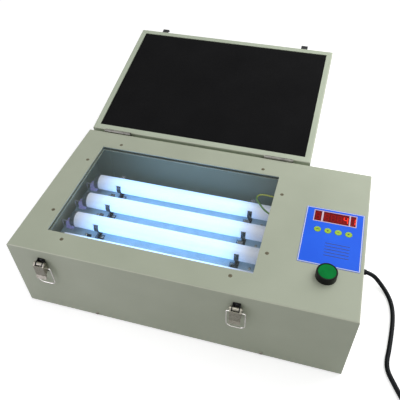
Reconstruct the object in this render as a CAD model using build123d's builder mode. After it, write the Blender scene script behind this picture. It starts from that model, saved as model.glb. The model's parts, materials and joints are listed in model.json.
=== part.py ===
"""Tabletop exposure unit for screen printing: four lamps in a folded steel box under a glass window,
a hinged pressure lid with a foam pad, two draw latches, and a timer with a start button.

Millimetres, +X to the right, +Y to the back, +Z up. The unit stands on z = 0 with its lid open,
and the origin is the middle of the floor that it covers that way.
"""
import os
from math import cos, dist, pi, radians, sin, sqrt, tan

from build123d import *

# --------------------------------------------------------------------------- housing
wall_height = 138.7          # lower edge of the walls to the face of the top plate
foot_height = 3.0
foot_diameter = 18.0
foot_inset = 30.0
sheet = 1.5                  # the housing is folded from this
panel_sheet = 1.2            # bottom plate, partition and corner flanges
bend_radius = 2.0
seam_flange = 30.0           # the end panels turn this far onto the front and back walls
seam_flange_rise = 12.0      # from the walls' lower edge to the flanges
corner_relief = 6.0
bottom_flange = 10.0
foot_taper = 10.0
bottom_screw_left = 118.3    # from the left wall
bottom_screw_right = 381.9
bottom_screw_height = 4.5
bottom_screw_reach = 70.0    # in the end walls, from the unit's middle

# --------------------------------------------------------------------------- fasteners
screw_diameter = 3.0
screw_clearance = 0.1
screw_reach = 3.0            # a screw's end beyond what it holds
screw_point = 0.8            # the same where there is little room
pan_head_diameter = 5.4
pan_head_height = 2.0
pan_head_edge = 0.9
flush_head_diameter = 6.0
rivet_head_diameter = 5.0
rivet_head_height = 1.2
rivet_tail = 1.0

# --------------------------------------------------------------------------- window
window_width = 310.4
window_depth = 200.2
window_offset = 44.9         # left wall to the window
window_margin = 40.15        # front and back walls to the window
glass_thickness = 4.0
glass_margin = 8.0           # glass reaches this far under the plate, all round
glass_corner = 1.0
glass_play = 0.2             # round the glass in its retainer
gasket_thickness = 1.0
retainer_margin = 16.0
retainer_lip = 2.5
window_screw_margin = 11.4   # window edge to the screws beside it
window_screw_end = 29.0      # window's left and right edges to the screws in front and behind
window_screw_side = 39.4     # window's front and back edges to the screws left and right

# --------------------------------------------------------------------------- lamps, T8 size
lamp_count = 4
lamp_edge = 25.5             # tray's edge to the first lamp's axis
lamp_height = 80.0           # axis above the walls' lower edge
lamp_diameter = 26.0
lamp_overreach = 10.3        # the lamps, over their end caps, reach this far beyond the window
lamp_cap_length = 8.0
lamp_pin_length = 7.0
lamp_pin_diameter = 2.4
lamp_pin_spacing = 12.7
cap_edge = 1.2               # rounding of the end caps
holder_gap = 0.8             # end cap to holder
holder_thickness = 5.0
holder_prong = 6.0           # width of each of the two prongs
holder_fork = 5.0            # lamp's axis down to the bottom of the fork
holder_stem = 11.0           # width of the stem on its rail
holder_foot = 15.0
holder_foot_height = 3.0
holder_back = 7.0            # the block that takes the lead, behind the stem
holder_block_drop = 7.5      # lamp's axis to the top of that block
holder_pin_play = 0.3        # round a pin in its groove
lead_diameter = 1.8
lead_rise = 10.0             # rail to the lead's exit
lead_gap = 4.0               # rail to the falling lead
lead_bend = 2.5
clip_inset = 37.7            # window's edge to the clips
clip_width = 7.6
clip_thickness = 0.8
clip_opening = 52.0          # degrees from the top to each end of the ring
clip_flare = 4.0             # length of the turned-out ends
clip_flare_angle = 42.0
clip_riser_spacing = 6.8
clip_base = 16.0
clip_tab = 9.0
clip_screw_in = 7.0          # clip to its screw, toward the window's middle
clip_screw_front = 12.5      # lamp to the screw, toward the front

# --------------------------------------------------------------------------- reflector tray
tray_overreach = 2.8         # the tray's ends beyond the window
tray_inset = 4.1             # window's front and back edges to the tray's face
tray_height = 62.0           # its face above the walls' lower edge
tray_sheet = 1.2
tray_foot = 12.0
rail_width = 50.0
rail_overlap = 24.0          # of the rail under the tray
rail_lip = 12.0
rail_length = 180.0
rail_rivet_in = 19.0         # tray's end to the rivets
tray_screw_pitch = 120.0
ballast_length = 150.0
ballast_width = 42.0
ballast_height = 28.0
ballast_pitch = 84.0
ballast_ear = 10.0
ballast_edge = 2.0

# --------------------------------------------------------------------------- electronics bay
partition_gap = 44.7         # window to the partition
bay_width = 100.0            # partition to the right wall's outer face
partition_foot = 12.0
wire_hole = 14.0
wire_hole_height = 24.0
label_margin = 5.4           # right wall to the label
label_front = 77.7
label_width = 85.9
label_depth = 109.3
label_thickness = 0.5
label_corner = 1.5
display_inset = 13.1         # label's left edge to the display
display_rise = 82.3          # label's front edge to the display
display_width = 60.8
display_depth = 20.5
display_windows = ((0.0, 10.3), (13.0, 50.8), (52.9, 60.8))
filter_play = 0.1
filter_flange = 2.0
filter_flange_thickness = 1.0
key_inset = 20.5             # label's left edge to the first key
key_pitch = 15.0
key_rise = 65.1              # label's front edge to the keys
key_count = 4
key_diameter = 10.0
key_clearance = 0.3
key_proud = 0.5
key_travel = 0.6
key_flange = 12.4
key_flange_thickness = 1.2
key_play = 0.1               # key to plate above it, and to switch below it when pressed
key_edge = 0.4
switch_body = 6.0
switch_plunger = 3.5
switch_plunger_height = 2.5
board_depth_below = 12.0     # plate to timer board
board_thickness = 1.6
board_inset = 3.0            # label's edge to the board's edge
board_corner = 2.0
spacer_diameter = 6.0
button_inset = 42.3          # label's left edge to the button
button_drop = 16.8           # label's front edge to the button
button_hole = 22.3
bezel_diameter = 29.0
bezel_height = 11.5
bezel_wall = 2.0
bezel_edge = 1.2
barrel_length = 18.0         # plate's face to the barrel's end
barrel_play = 0.25
cap_clearance = 0.25
cap_thickness = 5.5
cap_recess = 0.3             # cap's face below the bezel's
cap_rounding = 0.6
button_travel = 3.5
stem_diameter = 8.0
stem_reach = 2.5             # stem's end below the barrel's
nut_width = 27.0
nut_height = 5.0
contact_width = 30.0
contact_height = 32.0

# --------------------------------------------------------------------------- lid and hinges
lid_left = 3.5
lid_side_gap = 0.5           # lid to the partition's plane
lid_setback = 2.5            # front wall to the closed lid's front
lid_height = 18.0
lid_rim = 10.5
lid_sheet = 1.2
lid_gap = 1.0                # closed rim above the top plate
lid_open_angle = 168.2
foam_gap = 0.8               # between the foam and the rim round it
foam_recess = 0.3            # foam's face behind the rim's
foam_edge = 1.0
hinge_left_inset = 50.5      # lid's left side to the hinge's middle
hinge_right_inset = 53.0     # lid's right side to the hinge's middle
hinge_length = 48.0
hinge_knuckle = 24.0         # the middle knuckle, on the lid's leaf
hinge_barrel = 6.0
hinge_pin_diameter = 3.0
hinge_running_clearance = 0.05
hinge_end_play = 0.3
leaf_thickness = 1.5
leaf_drop = 13.0             # hinge axis to the leaf's far edge
hinge_screw_drop = 8.7       # hinge axis to the screws
hinge_screw_spacing = 34.0
leaf_corner = 2.0
hinge_pin_head = 4.6
pin_head_height = 0.8

# --------------------------------------------------------------------------- draw latches
latch_left_inset = 48.5      # lid's left side to the latch's middle
latch_right_inset = 56.5     # lid's right side to the latch's middle
pivot_height = 116.5         # lever pivot above the walls' lower edge
pivot_reach = 6.5            # lever pivot in front of the front wall
bail_pivot_height = 107.5
bail_pivot_reach = 5.5
latch_pin_diameter = 3.0
latch_base_width = 11.4
latch_base_low = 94.5        # above the walls' lower edge, as are the next three
latch_base_high = 122.5
latch_rivet_low = 99.5
latch_rivet_high = 119.3
latch_corner = 1.5
latch_sleeve = 6.4
latch_pin_head = 5.0
latch_clearance = 0.4
ear_play = 0.1
pin_end_play = 0.1
latch_sheet = 1.2
lever_width = 16.4           # over its ears
lever_ear_skirt = 8.0        # the ears run this far below the bail's pivot
lever_low = 91.0
lever_plate_reach = 4.6      # lever pivot to the inner face of the lever's plate
lever_tip_bend = 2.5
lever_flare = 5.0
lever_tip_rise = 0.4
bail_wire = 2.2
bail_width = 29.0
bail_length = 37.0           # bail pivot to the middle of its cross bar
bail_corner = 8.0
bail_end_bend = 2.2
bail_end_play = 0.3
keeper_width = 12.4
keeper_height = 13.0
keeper_lip = 4.0
keeper_rivet_spacing = 6.6
keeper_rivet_rise = 7.8
keeper_wire_gap = 0.3        # drawn bail to the keeper's lip

# --------------------------------------------------------------------------- mains cord
cord_diameter = 7.0
gland_y = 177.5
gland_height = 20.0          # above the walls' lower edge
gland_flange = 16.0
gland_shank = 12.2
gland_rim = 3.0
gland_nut = 4.0
relief_length = 21.0         # wall to the sleeve's end
relief_root = 12.0
relief_wall = 1.0
# Left wall, front wall and floor to the cord's middle, as it lies.
cord_floor_points = (
    (533.0, 177.5, 23.0),
    (548.0, 175.0, 16.0),
    (561.5, 160.5, 7.5),
    (570.0, 136.0, 3.6),
    (572.0, 109.0, 3.5),
    (569.0, 84.0, 3.5),
    (562.0, 61.0, 3.5),
    (560.0, 40.0, 3.5),
    (563.5, 22.0, 3.5),
    (572.5, 5.0, 3.5),
)
cord_last_run = 19.0
coil_centre = (637.0, -5.0)
coil_entry_angle = 230.0
coil_radius = 44.0           # of the first turn
coil_step = 7.5              # from turn to turn, and from layer to layer
coil_half_turns = 5          # in each layer, before it reverses
coil_facets = 8
coil_lead_out = 32.0         # straight end, before the plug
coil_check_step = 1.5        # between the points where the coil's gap is measured
plug_length = 38.0
plug_width = 26.0
plug_throat = 12.0
plug_pin_spacing = 19.0
plug_pin_diameter = 4.0
plug_pin_length = 19.0

# --------------------------------------------------------------------------- earth wire
earth_diameter = 3.0
# Left wall, front wall and the walls' lower edge to the wire's middle.
earth_points = (
    (400.0, 229.0, 99.0),
    (372.0, 229.0, 99.0),
    (347.0, 232.0, 100.0),
    (328.0, 231.5, 101.0),
    (322.5, 221.5, 102.0),
    (330.0, 209.0, 102.0),
    (345.0, 193.0, 101.0),
    (368.0, 183.0, 100.0),
    (400.0, 183.0, 100.0),
)
earth_radii = (20.0, 20.0, 6.0, 6.0, 10.0, 20.0, 20.0)

# --------------------------------------------------------------------------- the frame
# The open lid decides how far back the unit reaches, so the lid's edge is worked out first.
body_width = window_offset + window_width + partition_gap + bay_width
body_depth = window_depth + 2 * window_margin
partition_offset = body_width - bay_width
tray_length = window_width + 2 * tray_overreach
tray_depth = window_depth - 2 * tray_inset
lamp_length = window_width + 2 * lamp_overreach
lamp_pitch = (tray_depth - 2 * lamp_edge) / (lamp_count - 1)
clip_half_spacing = window_width / 2 - clip_inset
window_screw_reach_x = window_width / 2 - window_screw_end
window_screw_reach_y = window_depth / 2 - window_screw_side
lid_width = partition_offset - lid_left - lid_side_gap
lid_depth = body_depth - lid_setback
lid_right = lid_left + lid_width
label_left = body_width - label_margin - label_width
display_left = label_left + display_inset
display_front = label_front + display_rise
hinge_axis_back = hinge_barrel / 2
opening = radians(lid_open_angle)
lever_face = pivot_reach + lever_plate_reach + latch_sheet
keeper_reach = bail_pivot_reach + bail_wire / 2 + keeper_wire_gap + latch_sheet
front_reach = lever_face + lever_tip_bend
lid_far = body_depth + keeper_reach + hinge_axis_back
back_reach = body_depth + hinge_axis_back - lid_far * cos(opening)

left = -body_width / 2
front = -(back_reach - front_reach) / 2
back = front + body_depth
base = foot_height
top = base + wall_height
under_plate = top - sheet
middle_y = front + body_depth / 2
hinge_y = back + hinge_axis_back
hinge_z = top + lid_gap / 2
rim_z = top + lid_gap        # the lid is drawn closed, then turned open about the hinge
bolt_hole = screw_diameter / 2 + screw_clearance

parts_folder = "parts"
os.makedirs(parts_folder, exist_ok=True)


def save(builder, name):
    """Name a finished piece and write it."""
    builder.part.label = name
    export_step(builder.part, os.path.join(parts_folder, name + ".step"))


def save_turned(builder, name, axis, angle):
    """Turn a piece that was drawn closed to where it stands, then write it."""
    turned = builder.part.rotate(axis, angle)
    turned.label = name
    export_step(turned, os.path.join(parts_folder, name + ".step"))


def facing_front(x, y, z):
    """A plane on a front face: its own x runs right, its y up, and it looks forward."""
    return Plane(origin=(x, y, z), x_dir=(1, 0, 0), z_dir=(0, -1, 0))


def facing_back(x, y, z):
    return Plane(origin=(x, y, z), x_dir=(-1, 0, 0), z_dir=(0, 1, 0))


def side_plane(x):
    """A plane across the unit at x: its own x runs back, its y up, and it looks right."""
    return Plane(origin=(x, 0, 0), x_dir=(0, 1, 0), z_dir=(1, 0, 0))


# --------------------------------------------------------------------------- places shared by pieces
window_x = left + window_offset + window_width / 2
window_y = middle_y
lamp_rows = [middle_y + (n - (lamp_count - 1) / 2) * lamp_pitch for n in range(lamp_count)]
lamp_z = base + lamp_height
lamp_half = lamp_length / 2
clip_xs = (window_x - clip_half_spacing, window_x + clip_half_spacing)
tray_z = base + tray_height
holder_face = lamp_half + 0.8                # from the lamps' middle to the holders' faces
rail_z = tray_z - tray_sheet
partition_x = left + partition_offset
label_x = left + label_left + label_width / 2
label_y = front + label_front + label_depth / 2
label_z = top + label_thickness
display_x = left + display_left + display_width / 2
display_y = front + display_front + display_depth / 2
key_xs = [left + label_left + key_inset + n * key_pitch for n in range(key_count)]
key_y = front + label_front + key_rise
button_at = (left + label_left + button_inset, front + label_front - button_drop)
latch_xs = {"left": left + lid_left + latch_left_inset, "right": left + lid_right - latch_right_inset}
hinge_xs = (left + lid_left + hinge_left_inset, left + lid_right - hinge_right_inset)
pivot_y = front - pivot_reach
pivot_z = base + pivot_height
bail_y = front - bail_pivot_reach
bail_z = base + bail_pivot_height
gland_at = (left + body_width, front + gland_y, base + gland_height)
floor_z = base + 1.2                         # upper face of the bottom plate

window_screws_at = [
    (window_x + sx * (window_width / 2 + window_screw_margin), window_y + sy * window_screw_reach_y)
    for sx in (-1, 1) for sy in (-1, 1)
] + [
    (window_x + sx * window_screw_reach_x, window_y + sy * (window_depth / 2 + window_screw_margin))
    for sx in (-1, 1) for sy in (-1, 1)
]
hinge_screw_xs = [x + side * hinge_screw_spacing / 2 for x in hinge_xs for side in (-1, 1)]
box_hinge_screws_at = [facing_back(x, back, hinge_z - hinge_screw_drop) for x in hinge_screw_xs]
lid_hinge_screws_at = [facing_back(x, back, hinge_z + hinge_screw_drop) for x in hinge_screw_xs]
bottom_screws_at = [
    plane
    for x in (left + bottom_screw_left, left + bottom_screw_right)
    for plane in (facing_front(x, front, base + bottom_screw_height), facing_back(x, back, base + bottom_screw_height))
] + [
    Plane(origin=(side * body_width / 2, middle_y + place * bottom_screw_reach, base + bottom_screw_height),
          x_dir=(0, side, 0), z_dir=(side, 0, 0))
    for side in (-1, 1) for place in (-1, 1)
]
latch_rivets_at = [
    facing_front(x, front, base + height)
    for x in latch_xs.values() for height in (latch_rivet_low, latch_rivet_high)
]


# --------------------------------------------------------------------------- fasteners
def pan_head_screw(length):
    """A pan head screw whose head stands on the plane z = 0 and whose shank runs down from it."""
    head = pan_head_diameter / 2
    shank = screw_diameter / 2
    with BuildPart() as screw:
        with BuildSketch(Plane.XZ):
            with BuildLine():
                Polyline((0, pan_head_height), (0, -length), (shank, -length), (shank, 0), (head, 0),
                         (head, pan_head_height), close=True)
            make_face()
        revolve(axis=Axis.Z)
        fillet(screw.edges().group_by(Axis.Z)[-1], pan_head_edge)
    return screw.part


def flush_screw(length):
    """A countersunk screw whose head is level with z = 0 and whose shank runs down."""
    head = flush_head_diameter / 2
    shank = screw_diameter / 2
    with BuildPart() as screw:
        with BuildSketch(Plane.XZ):
            with BuildLine():
                Polyline((0, 0), (head, 0), (shank, shank - head), (shank, -length), (0, -length), close=True)
            make_face()
        revolve(axis=Axis.Z)
    return screw.part


def rivet(grip):
    """A rivet through a stack as thick as its grip, its domed head on z = 0."""
    head = rivet_head_diameter / 2
    shank = screw_diameter / 2
    dome = (head**2 + rivet_head_height**2) / (2 * rivet_head_height)
    with BuildPart() as pressed:
        with BuildSketch(Plane.XZ):
            with BuildLine():
                Polyline((0, rivet_head_height), (0, -grip - rivet_tail), (head, -grip - rivet_tail),
                         (head, -grip), (shank, -grip), (shank, 0), (head, 0))
                RadiusArc((head, 0), (0, rivet_head_height), -dome)
            make_face()
        revolve(axis=Axis.Z)
    return pressed.part


# =========================================================================== housing
# The housing is one folded box, open below: top plate, four walls, and the flanges that the
# two end panels turn onto the front and back walls.
inner_width = body_width - 2 * sheet
inner_depth = body_depth - 2 * sheet

with BuildPart() as housing_shell:
    with BuildSketch(Plane.XY.offset(base)):
        with Locations((0, middle_y)):
            Rectangle(body_width, body_depth)
    extrude(amount=wall_height)
    fillet(housing_shell.edges().group_by(Axis.Z)[-1], bend_radius)
    with BuildSketch(Plane.XY.offset(base)):
        with Locations((0, middle_y)):
            Rectangle(inner_width, inner_depth)
    extrude(amount=wall_height - sheet, mode=Mode.SUBTRACT)
    with BuildSketch(Plane.XY.offset(base + seam_flange_rise)):
        with Locations((0, middle_y)):
            with GridLocations(inner_width - seam_flange, inner_depth - panel_sheet, 2, 2):
                Rectangle(seam_flange, panel_sheet)
    extrude(amount=wall_height - sheet - seam_flange_rise)
    with BuildSketch(Plane.XY.offset(top)):
        with Locations((window_x, window_y)):
            Rectangle(window_width, window_depth)
        with Locations((display_x, display_y)):
            Rectangle(display_width, display_depth)
        with Locations(button_at):
            Circle(button_hole / 2)
        with Locations(*[(x, key_y) for x in key_xs]):
            Circle(key_diameter / 2 + key_clearance)
    extrude(amount=-sheet, mode=Mode.SUBTRACT)
    with Locations(*[(x, y, top) for x, y in window_screws_at]):
        CounterSinkHole(bolt_hole, flush_head_diameter / 2, depth=2 * sheet, counter_sink_angle=90)
    with Locations(*bottom_screws_at, *box_hinge_screws_at, *latch_rivets_at):
        Hole(bolt_hole, depth=2 * sheet)
    with Locations(Plane(origin=gland_at, x_dir=(0, 1, 0), z_dir=(1, 0, 0))):
        Hole(gland_shank / 2, depth=2 * sheet)
save(housing_shell, "housing_shell")

feet_at = [
    (sx * (body_width / 2 - foot_inset), middle_y + sy * (body_depth / 2 - foot_inset))
    for sx in (-1, 1) for sy in (-1, 1)
]
tray_screws_at = [
    (window_x + column * tray_screw_pitch, middle_y + side * (tray_depth / 2 + tray_foot / 2))
    for column in (-1, 0, 1) for side in (-1, 1)
]

# The bottom plate is a shallow pan with relieved corners, screwed to the walls from outside.
with BuildPart() as bottom_plate:
    with BuildSketch(Plane.XY.offset(base)):
        with Locations((0, middle_y)):
            Rectangle(inner_width, inner_depth)
    extrude(amount=bottom_flange)
    with BuildSketch(Plane.XY.offset(floor_z)):
        with Locations((0, middle_y)):
            Rectangle(inner_width - 2 * panel_sheet, inner_depth - 2 * panel_sheet)
            with GridLocations(inner_width, inner_depth, 2, 2):
                Rectangle(corner_relief, corner_relief)
    extrude(amount=bottom_flange, mode=Mode.SUBTRACT)
    with Locations(*bottom_screws_at):
        Hole(bolt_hole, depth=2 * (sheet + panel_sheet))
    with Locations(*[(x, y, floor_z) for x, y in tray_screws_at]):
        Hole(bolt_hole, depth=2 * panel_sheet)
save(bottom_plate, "bottom_plate")

wall_screw = pan_head_screw(sheet + panel_sheet + screw_reach)
with BuildPart() as bottom_screws:
    with Locations(*bottom_screws_at):
        add(wall_screw)
save(bottom_screws, "bottom_screws")

with BuildPart() as rubber_feet:
    with BuildSketch(Plane.XY.offset(base)):
        with Locations(*feet_at):
            Circle(foot_diameter / 2)
    extrude(amount=-foot_height, taper=foot_taper)
save(rubber_feet, "rubber_feet")

# =========================================================================== window
# Gasket, glass and retainer hang under the top plate on the eight countersunk screws.
glass_width = window_width + 2 * glass_margin
glass_depth = window_depth + 2 * glass_margin
glass_z = under_plate - gasket_thickness
retainer_height = gasket_thickness + glass_thickness + retainer_lip

with BuildPart() as glass_gasket:
    with BuildSketch(Plane.XY.offset(under_plate)):
        with Locations((window_x, window_y)):
            Rectangle(glass_width, glass_depth)
            Rectangle(window_width, window_depth, mode=Mode.SUBTRACT)
    extrude(amount=-gasket_thickness)
save(glass_gasket, "glass_gasket")

with BuildPart() as window_glass:
    with BuildSketch(Plane.XY.offset(glass_z)):
        with Locations((window_x, window_y)):
            Rectangle(glass_width, glass_depth)
    extrude(amount=-glass_thickness)
    chamfer(window_glass.edges().filter_by(Axis.Z), glass_corner)
save(window_glass, "window_glass")

with BuildPart() as glass_retainer:
    with BuildSketch(Plane.XY.offset(under_plate)):
        with Locations((window_x, window_y)):
            Rectangle(window_width + 2 * retainer_margin, window_depth + 2 * retainer_margin)
            Rectangle(window_width, window_depth, mode=Mode.SUBTRACT)
    extrude(amount=-retainer_height)
    with BuildSketch(Plane.XY.offset(under_plate)):
        with Locations((window_x, window_y)):
            Rectangle(glass_width + 2 * glass_play, glass_depth + 2 * glass_play)
    extrude(amount=-(gasket_thickness + glass_thickness), mode=Mode.SUBTRACT)
    with Locations(*[(x, y, under_plate) for x, y in window_screws_at]):
        Hole(bolt_hole, depth=2 * retainer_height)
save(glass_retainer, "glass_retainer")

window_screw = flush_screw(sheet + retainer_height - screw_reach / 2)
with BuildPart() as window_screws:
    with Locations(*[(x, y, top) for x, y in window_screws_at]):
        add(window_screw)
save(window_screws, "window_screws")

# =========================================================================== reflector tray
# A folded hat section carries the lamps; two rails riveted under its ends carry the holders.
clip_screws_at = [
    (x + (clip_screw_in if x < window_x else -clip_screw_in), y - clip_screw_front)
    for x in clip_xs for y in lamp_rows
]
rail_rivet_xs = (window_x - tray_length / 2 + rail_rivet_in, window_x + tray_length / 2 - rail_rivet_in)
rail_rivets_at = [(x, y - clip_screw_front) for x in rail_rivet_xs for y in lamp_rows]

with BuildPart() as reflector_tray:
    with BuildSketch(side_plane(window_x - tray_length / 2)):
        with BuildLine():
            half = tray_depth / 2
            Polyline(
                (middle_y - half - tray_foot, floor_z),
                (middle_y - half - tray_foot, floor_z + tray_sheet),
                (middle_y - half, floor_z + tray_sheet),
                (middle_y - half, tray_z),
                (middle_y + half, tray_z),
                (middle_y + half, floor_z + tray_sheet),
                (middle_y + half + tray_foot, floor_z + tray_sheet),
                (middle_y + half + tray_foot, floor_z),
                (middle_y + half - tray_sheet, floor_z),
                (middle_y + half - tray_sheet, tray_z - tray_sheet),
                (middle_y - half + tray_sheet, tray_z - tray_sheet),
                (middle_y - half + tray_sheet, floor_z),
                close=True,
            )
        make_face()
    extrude(amount=tray_length)
    fillet(reflector_tray.edges().filter_by(Axis.X).group_by(Axis.Z)[-1], bend_radius)
    with Locations(*[(x, y, floor_z + tray_sheet) for x, y in tray_screws_at]):
        Hole(bolt_hole, depth=2 * tray_sheet)
    with Locations(*[(x, y, tray_z) for x, y in clip_screws_at + rail_rivets_at]):
        Hole(bolt_hole, depth=2 * tray_sheet)
save(reflector_tray, "reflector_tray")

foot_screw = pan_head_screw(tray_sheet + panel_sheet + screw_point)
with BuildPart() as tray_screws:
    with Locations(*[(x, y, floor_z + tray_sheet) for x, y in tray_screws_at]):
        add(foot_screw)
save(tray_screws, "tray_screws")

with BuildPart() as holder_rails:
    rail_outer = window_x - tray_length / 2 + rail_overlap - rail_width
    with BuildSketch(Plane.XZ.offset(-(middle_y - rail_length / 2))):
        with BuildLine():
            Polyline(
                (rail_outer, rail_z),
                (rail_outer + rail_width, rail_z),
                (rail_outer + rail_width, rail_z - tray_sheet),
                (rail_outer + tray_sheet, rail_z - tray_sheet),
                (rail_outer + tray_sheet, rail_z - rail_lip),
                (rail_outer, rail_z - rail_lip),
                close=True,
            )
        make_face()
    extrude(amount=-rail_length)
    mirror(about=Plane.YZ.offset(window_x))
    with Locations(*[(x, y, rail_z) for x, y in rail_rivets_at]):
        Hole(bolt_hole, depth=2 * tray_sheet)
save(holder_rails, "holder_rails")

rail_rivet = rivet(2 * tray_sheet)
with BuildPart() as rail_rivets:
    with Locations(*[(x, y, tray_z) for x, y in rail_rivets_at]):
        add(rail_rivet)
save(rail_rivets, "rail_rivets")

# =========================================================================== lamps
# Bi-pin tubes: a glass body between two metal caps, two pins in each cap.
lamp_names = ("front", "front_middle", "rear_middle", "rear")
glass_half = lamp_half - lamp_cap_length

for lamp_name, lamp_y in zip(lamp_names, lamp_rows):
    with BuildPart() as lamp_tube:
        with BuildSketch(side_plane(window_x - glass_half)):
            with Locations((lamp_y, lamp_z)):
                Circle(lamp_diameter / 2)
        extrude(amount=2 * glass_half)
    save(lamp_tube, "lamp_tube_" + lamp_name)

with BuildPart() as lamp_end_caps:
    for side in (-1, 1):
        with BuildSketch(side_plane(window_x + side * glass_half)):
            with Locations(*[(y, lamp_z) for y in lamp_rows]):
                Circle(lamp_diameter / 2)
        extrude(amount=side * lamp_cap_length)
    cap_faces = lamp_end_caps.faces().filter_by(Axis.X).group_by(Axis.X)
    fillet(cap_faces[0].edges() + cap_faces[-1].edges(), cap_edge)
save(lamp_end_caps, "lamp_end_caps")

with BuildPart() as lamp_pins:
    for side in (-1, 1):
        with BuildSketch(side_plane(window_x + side * lamp_half)):
            for lamp_y in lamp_rows:
                with Locations((lamp_y, lamp_z)):
                    with GridLocations(lamp_pin_spacing, 0, 2, 1):
                        Circle(lamp_pin_diameter / 2)
        extrude(amount=side * lamp_pin_length)
save(lamp_pins, "lamp_pins")

# A holder is a fork of two round-topped prongs on a tapered stem. Each pin of the lamp drops into a
# groove that is open above and ends in a round seat.
groove_width = lamp_pin_diameter + 2 * holder_pin_play
pin_reach = lamp_pin_spacing / 2
fork_half = pin_reach + holder_prong / 2
fork_z = lamp_z - holder_fork

with BuildPart() as lampholders:
    for side in (-1, 1):
        face_x = window_x + side * (lamp_half + holder_gap)
        with BuildSketch(side_plane(face_x)):
            for lamp_y in lamp_rows:
                with BuildLine():
                    Polyline((lamp_y - fork_half, fork_z), (lamp_y - holder_stem / 2, rail_z),
                             (lamp_y + holder_stem / 2, rail_z), (lamp_y + fork_half, fork_z), close=True)
                make_face()
                with Locations((lamp_y - pin_reach, lamp_z), (lamp_y + pin_reach, lamp_z)):
                    Circle(holder_prong / 2)
                with Locations((lamp_y - pin_reach, lamp_z - holder_fork / 2), (lamp_y + pin_reach, lamp_z - holder_fork / 2)):
                    Rectangle(holder_prong, holder_fork)
                with Locations((lamp_y - pin_reach, lamp_z), (lamp_y + pin_reach, lamp_z)):
                    Circle(groove_width / 2, mode=Mode.SUBTRACT)
                with Locations((lamp_y - pin_reach, lamp_z + holder_prong / 2), (lamp_y + pin_reach, lamp_z + holder_prong / 2)):
                    Rectangle(groove_width, holder_prong, mode=Mode.SUBTRACT)
        extrude(amount=side * holder_thickness)
        block_height = lamp_z - holder_block_drop - rail_z
        with BuildSketch(side_plane(face_x + side * holder_thickness)):
            with Locations(*[(y, rail_z + block_height / 2) for y in lamp_rows]):
                Rectangle(holder_stem, block_height)
        extrude(amount=side * holder_back)
        with BuildSketch(side_plane(face_x)):
            with Locations(*[(y, rail_z + holder_foot_height / 2) for y in lamp_rows]):
                Rectangle(holder_foot, holder_foot_height)
        extrude(amount=side * (holder_thickness + holder_back))
save(lampholders, "lampholders")

# A clip is a strip of spring steel: a ring open at the top, on a short riser and a foot.
clip_radius = lamp_diameter / 2
clip_outer = clip_radius + clip_thickness
tip_angle = radians(clip_opening)
tip_y = (clip_radius + clip_thickness / 2) * sin(tip_angle)
tip_z = (clip_radius + clip_thickness / 2) * cos(tip_angle)
flare = radians(clip_flare_angle)

with BuildPart() as lamp_clips:
    for clip_x in clip_xs:
        with BuildSketch(side_plane(clip_x - clip_width / 2)):
            for lamp_y in lamp_rows:
                with Locations((lamp_y, lamp_z)):
                    Circle(clip_outer)
                    Polygon((0, 0), (2 * tip_y, 2 * tip_z), (-2 * tip_y, 2 * tip_z), align=None, mode=Mode.SUBTRACT)
                for hand in (-1, 1):
                    flare_y = tip_y + clip_flare / 2 * cos(flare)
                    flare_z = tip_z + clip_flare / 2 * sin(flare)
                    with Locations((lamp_y + hand * flare_y, lamp_z + flare_z)):
                        Rectangle(clip_flare + clip_thickness, clip_thickness, rotation=hand * clip_flare_angle)
                    riser_y = clip_riser_spacing / 2
                    riser_top = lamp_z - sqrt((clip_radius + clip_thickness / 2) ** 2 - riser_y**2)
                    with Locations((lamp_y + hand * riser_y, (tray_z + riser_top) / 2)):
                        Rectangle(clip_thickness, riser_top - tray_z)
                with Locations((lamp_y, tray_z + clip_thickness / 2)):
                    Rectangle(clip_base, clip_thickness)
                with Locations((lamp_y, lamp_z)):
                    Circle(clip_radius, mode=Mode.SUBTRACT)
        extrude(amount=clip_width)
    with BuildSketch(Plane.XY.offset(tray_z)):
        for (screw_x, screw_y), clip_x in zip(clip_screws_at, [x for x in clip_xs for y in lamp_rows]):
            with Locations(((screw_x + clip_x) / 2, screw_y)):
                Rectangle(abs(screw_x - clip_x) + clip_width, clip_tab)
    extrude(amount=clip_thickness)
    with Locations(*[(x, y, tray_z + clip_thickness) for x, y in clip_screws_at]):
        Hole(bolt_hole, depth=2 * clip_thickness)
save(lamp_clips, "lamp_clips")

clip_screw = pan_head_screw(clip_thickness + tray_sheet + screw_reach)
with BuildPart() as clip_screws:
    with Locations(*[(x, y, tray_z + clip_thickness) for x, y in clip_screws_at]):
        add(clip_screw)
save(clip_screws, "clip_screws")

# Each holder has a lead that drops past the rail to the bottom plate.
holder_rear = lamp_half + holder_gap + holder_thickness + holder_back
with BuildPart() as lamp_wires:
    for side in (-1, 1):
        for lamp_y in lamp_rows:
            start_x = window_x + side * holder_rear
            drop_x = window_x + side * (tray_length / 2 - rail_overlap + rail_width + lead_gap)
            lead_z = rail_z + lead_rise
            with BuildLine():
                FilletPolyline((start_x, lamp_y, lead_z), (drop_x, lamp_y, lead_z), (drop_x, lamp_y, floor_z),
                               radius=lead_bend)
            with BuildSketch(side_plane(start_x).shift_origin((start_x, lamp_y, lead_z))):
                Circle(lead_diameter / 2)
            sweep()
save(lamp_wires, "lamp_wires")

with BuildPart() as lamp_ballasts:
    with BuildSketch(Plane.XY.offset(floor_z)):
        with Locations((window_x, middle_y)):
            with GridLocations(0, ballast_pitch, 1, 2):
                Rectangle(ballast_length, ballast_width)
    extrude(amount=ballast_height)
    fillet(lamp_ballasts.edges().filter_by(Axis.X).group_by(Axis.Z)[-1], ballast_edge)
    with BuildSketch(Plane.XY.offset(floor_z)):
        with Locations((window_x, middle_y)):
            with GridLocations(ballast_length + ballast_ear, ballast_pitch, 2, 2):
                Rectangle(ballast_ear, ballast_width)
                Circle(bolt_hole, mode=Mode.SUBTRACT)
    extrude(amount=panel_sheet)
save(lamp_ballasts, "lamp_ballasts")

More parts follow.
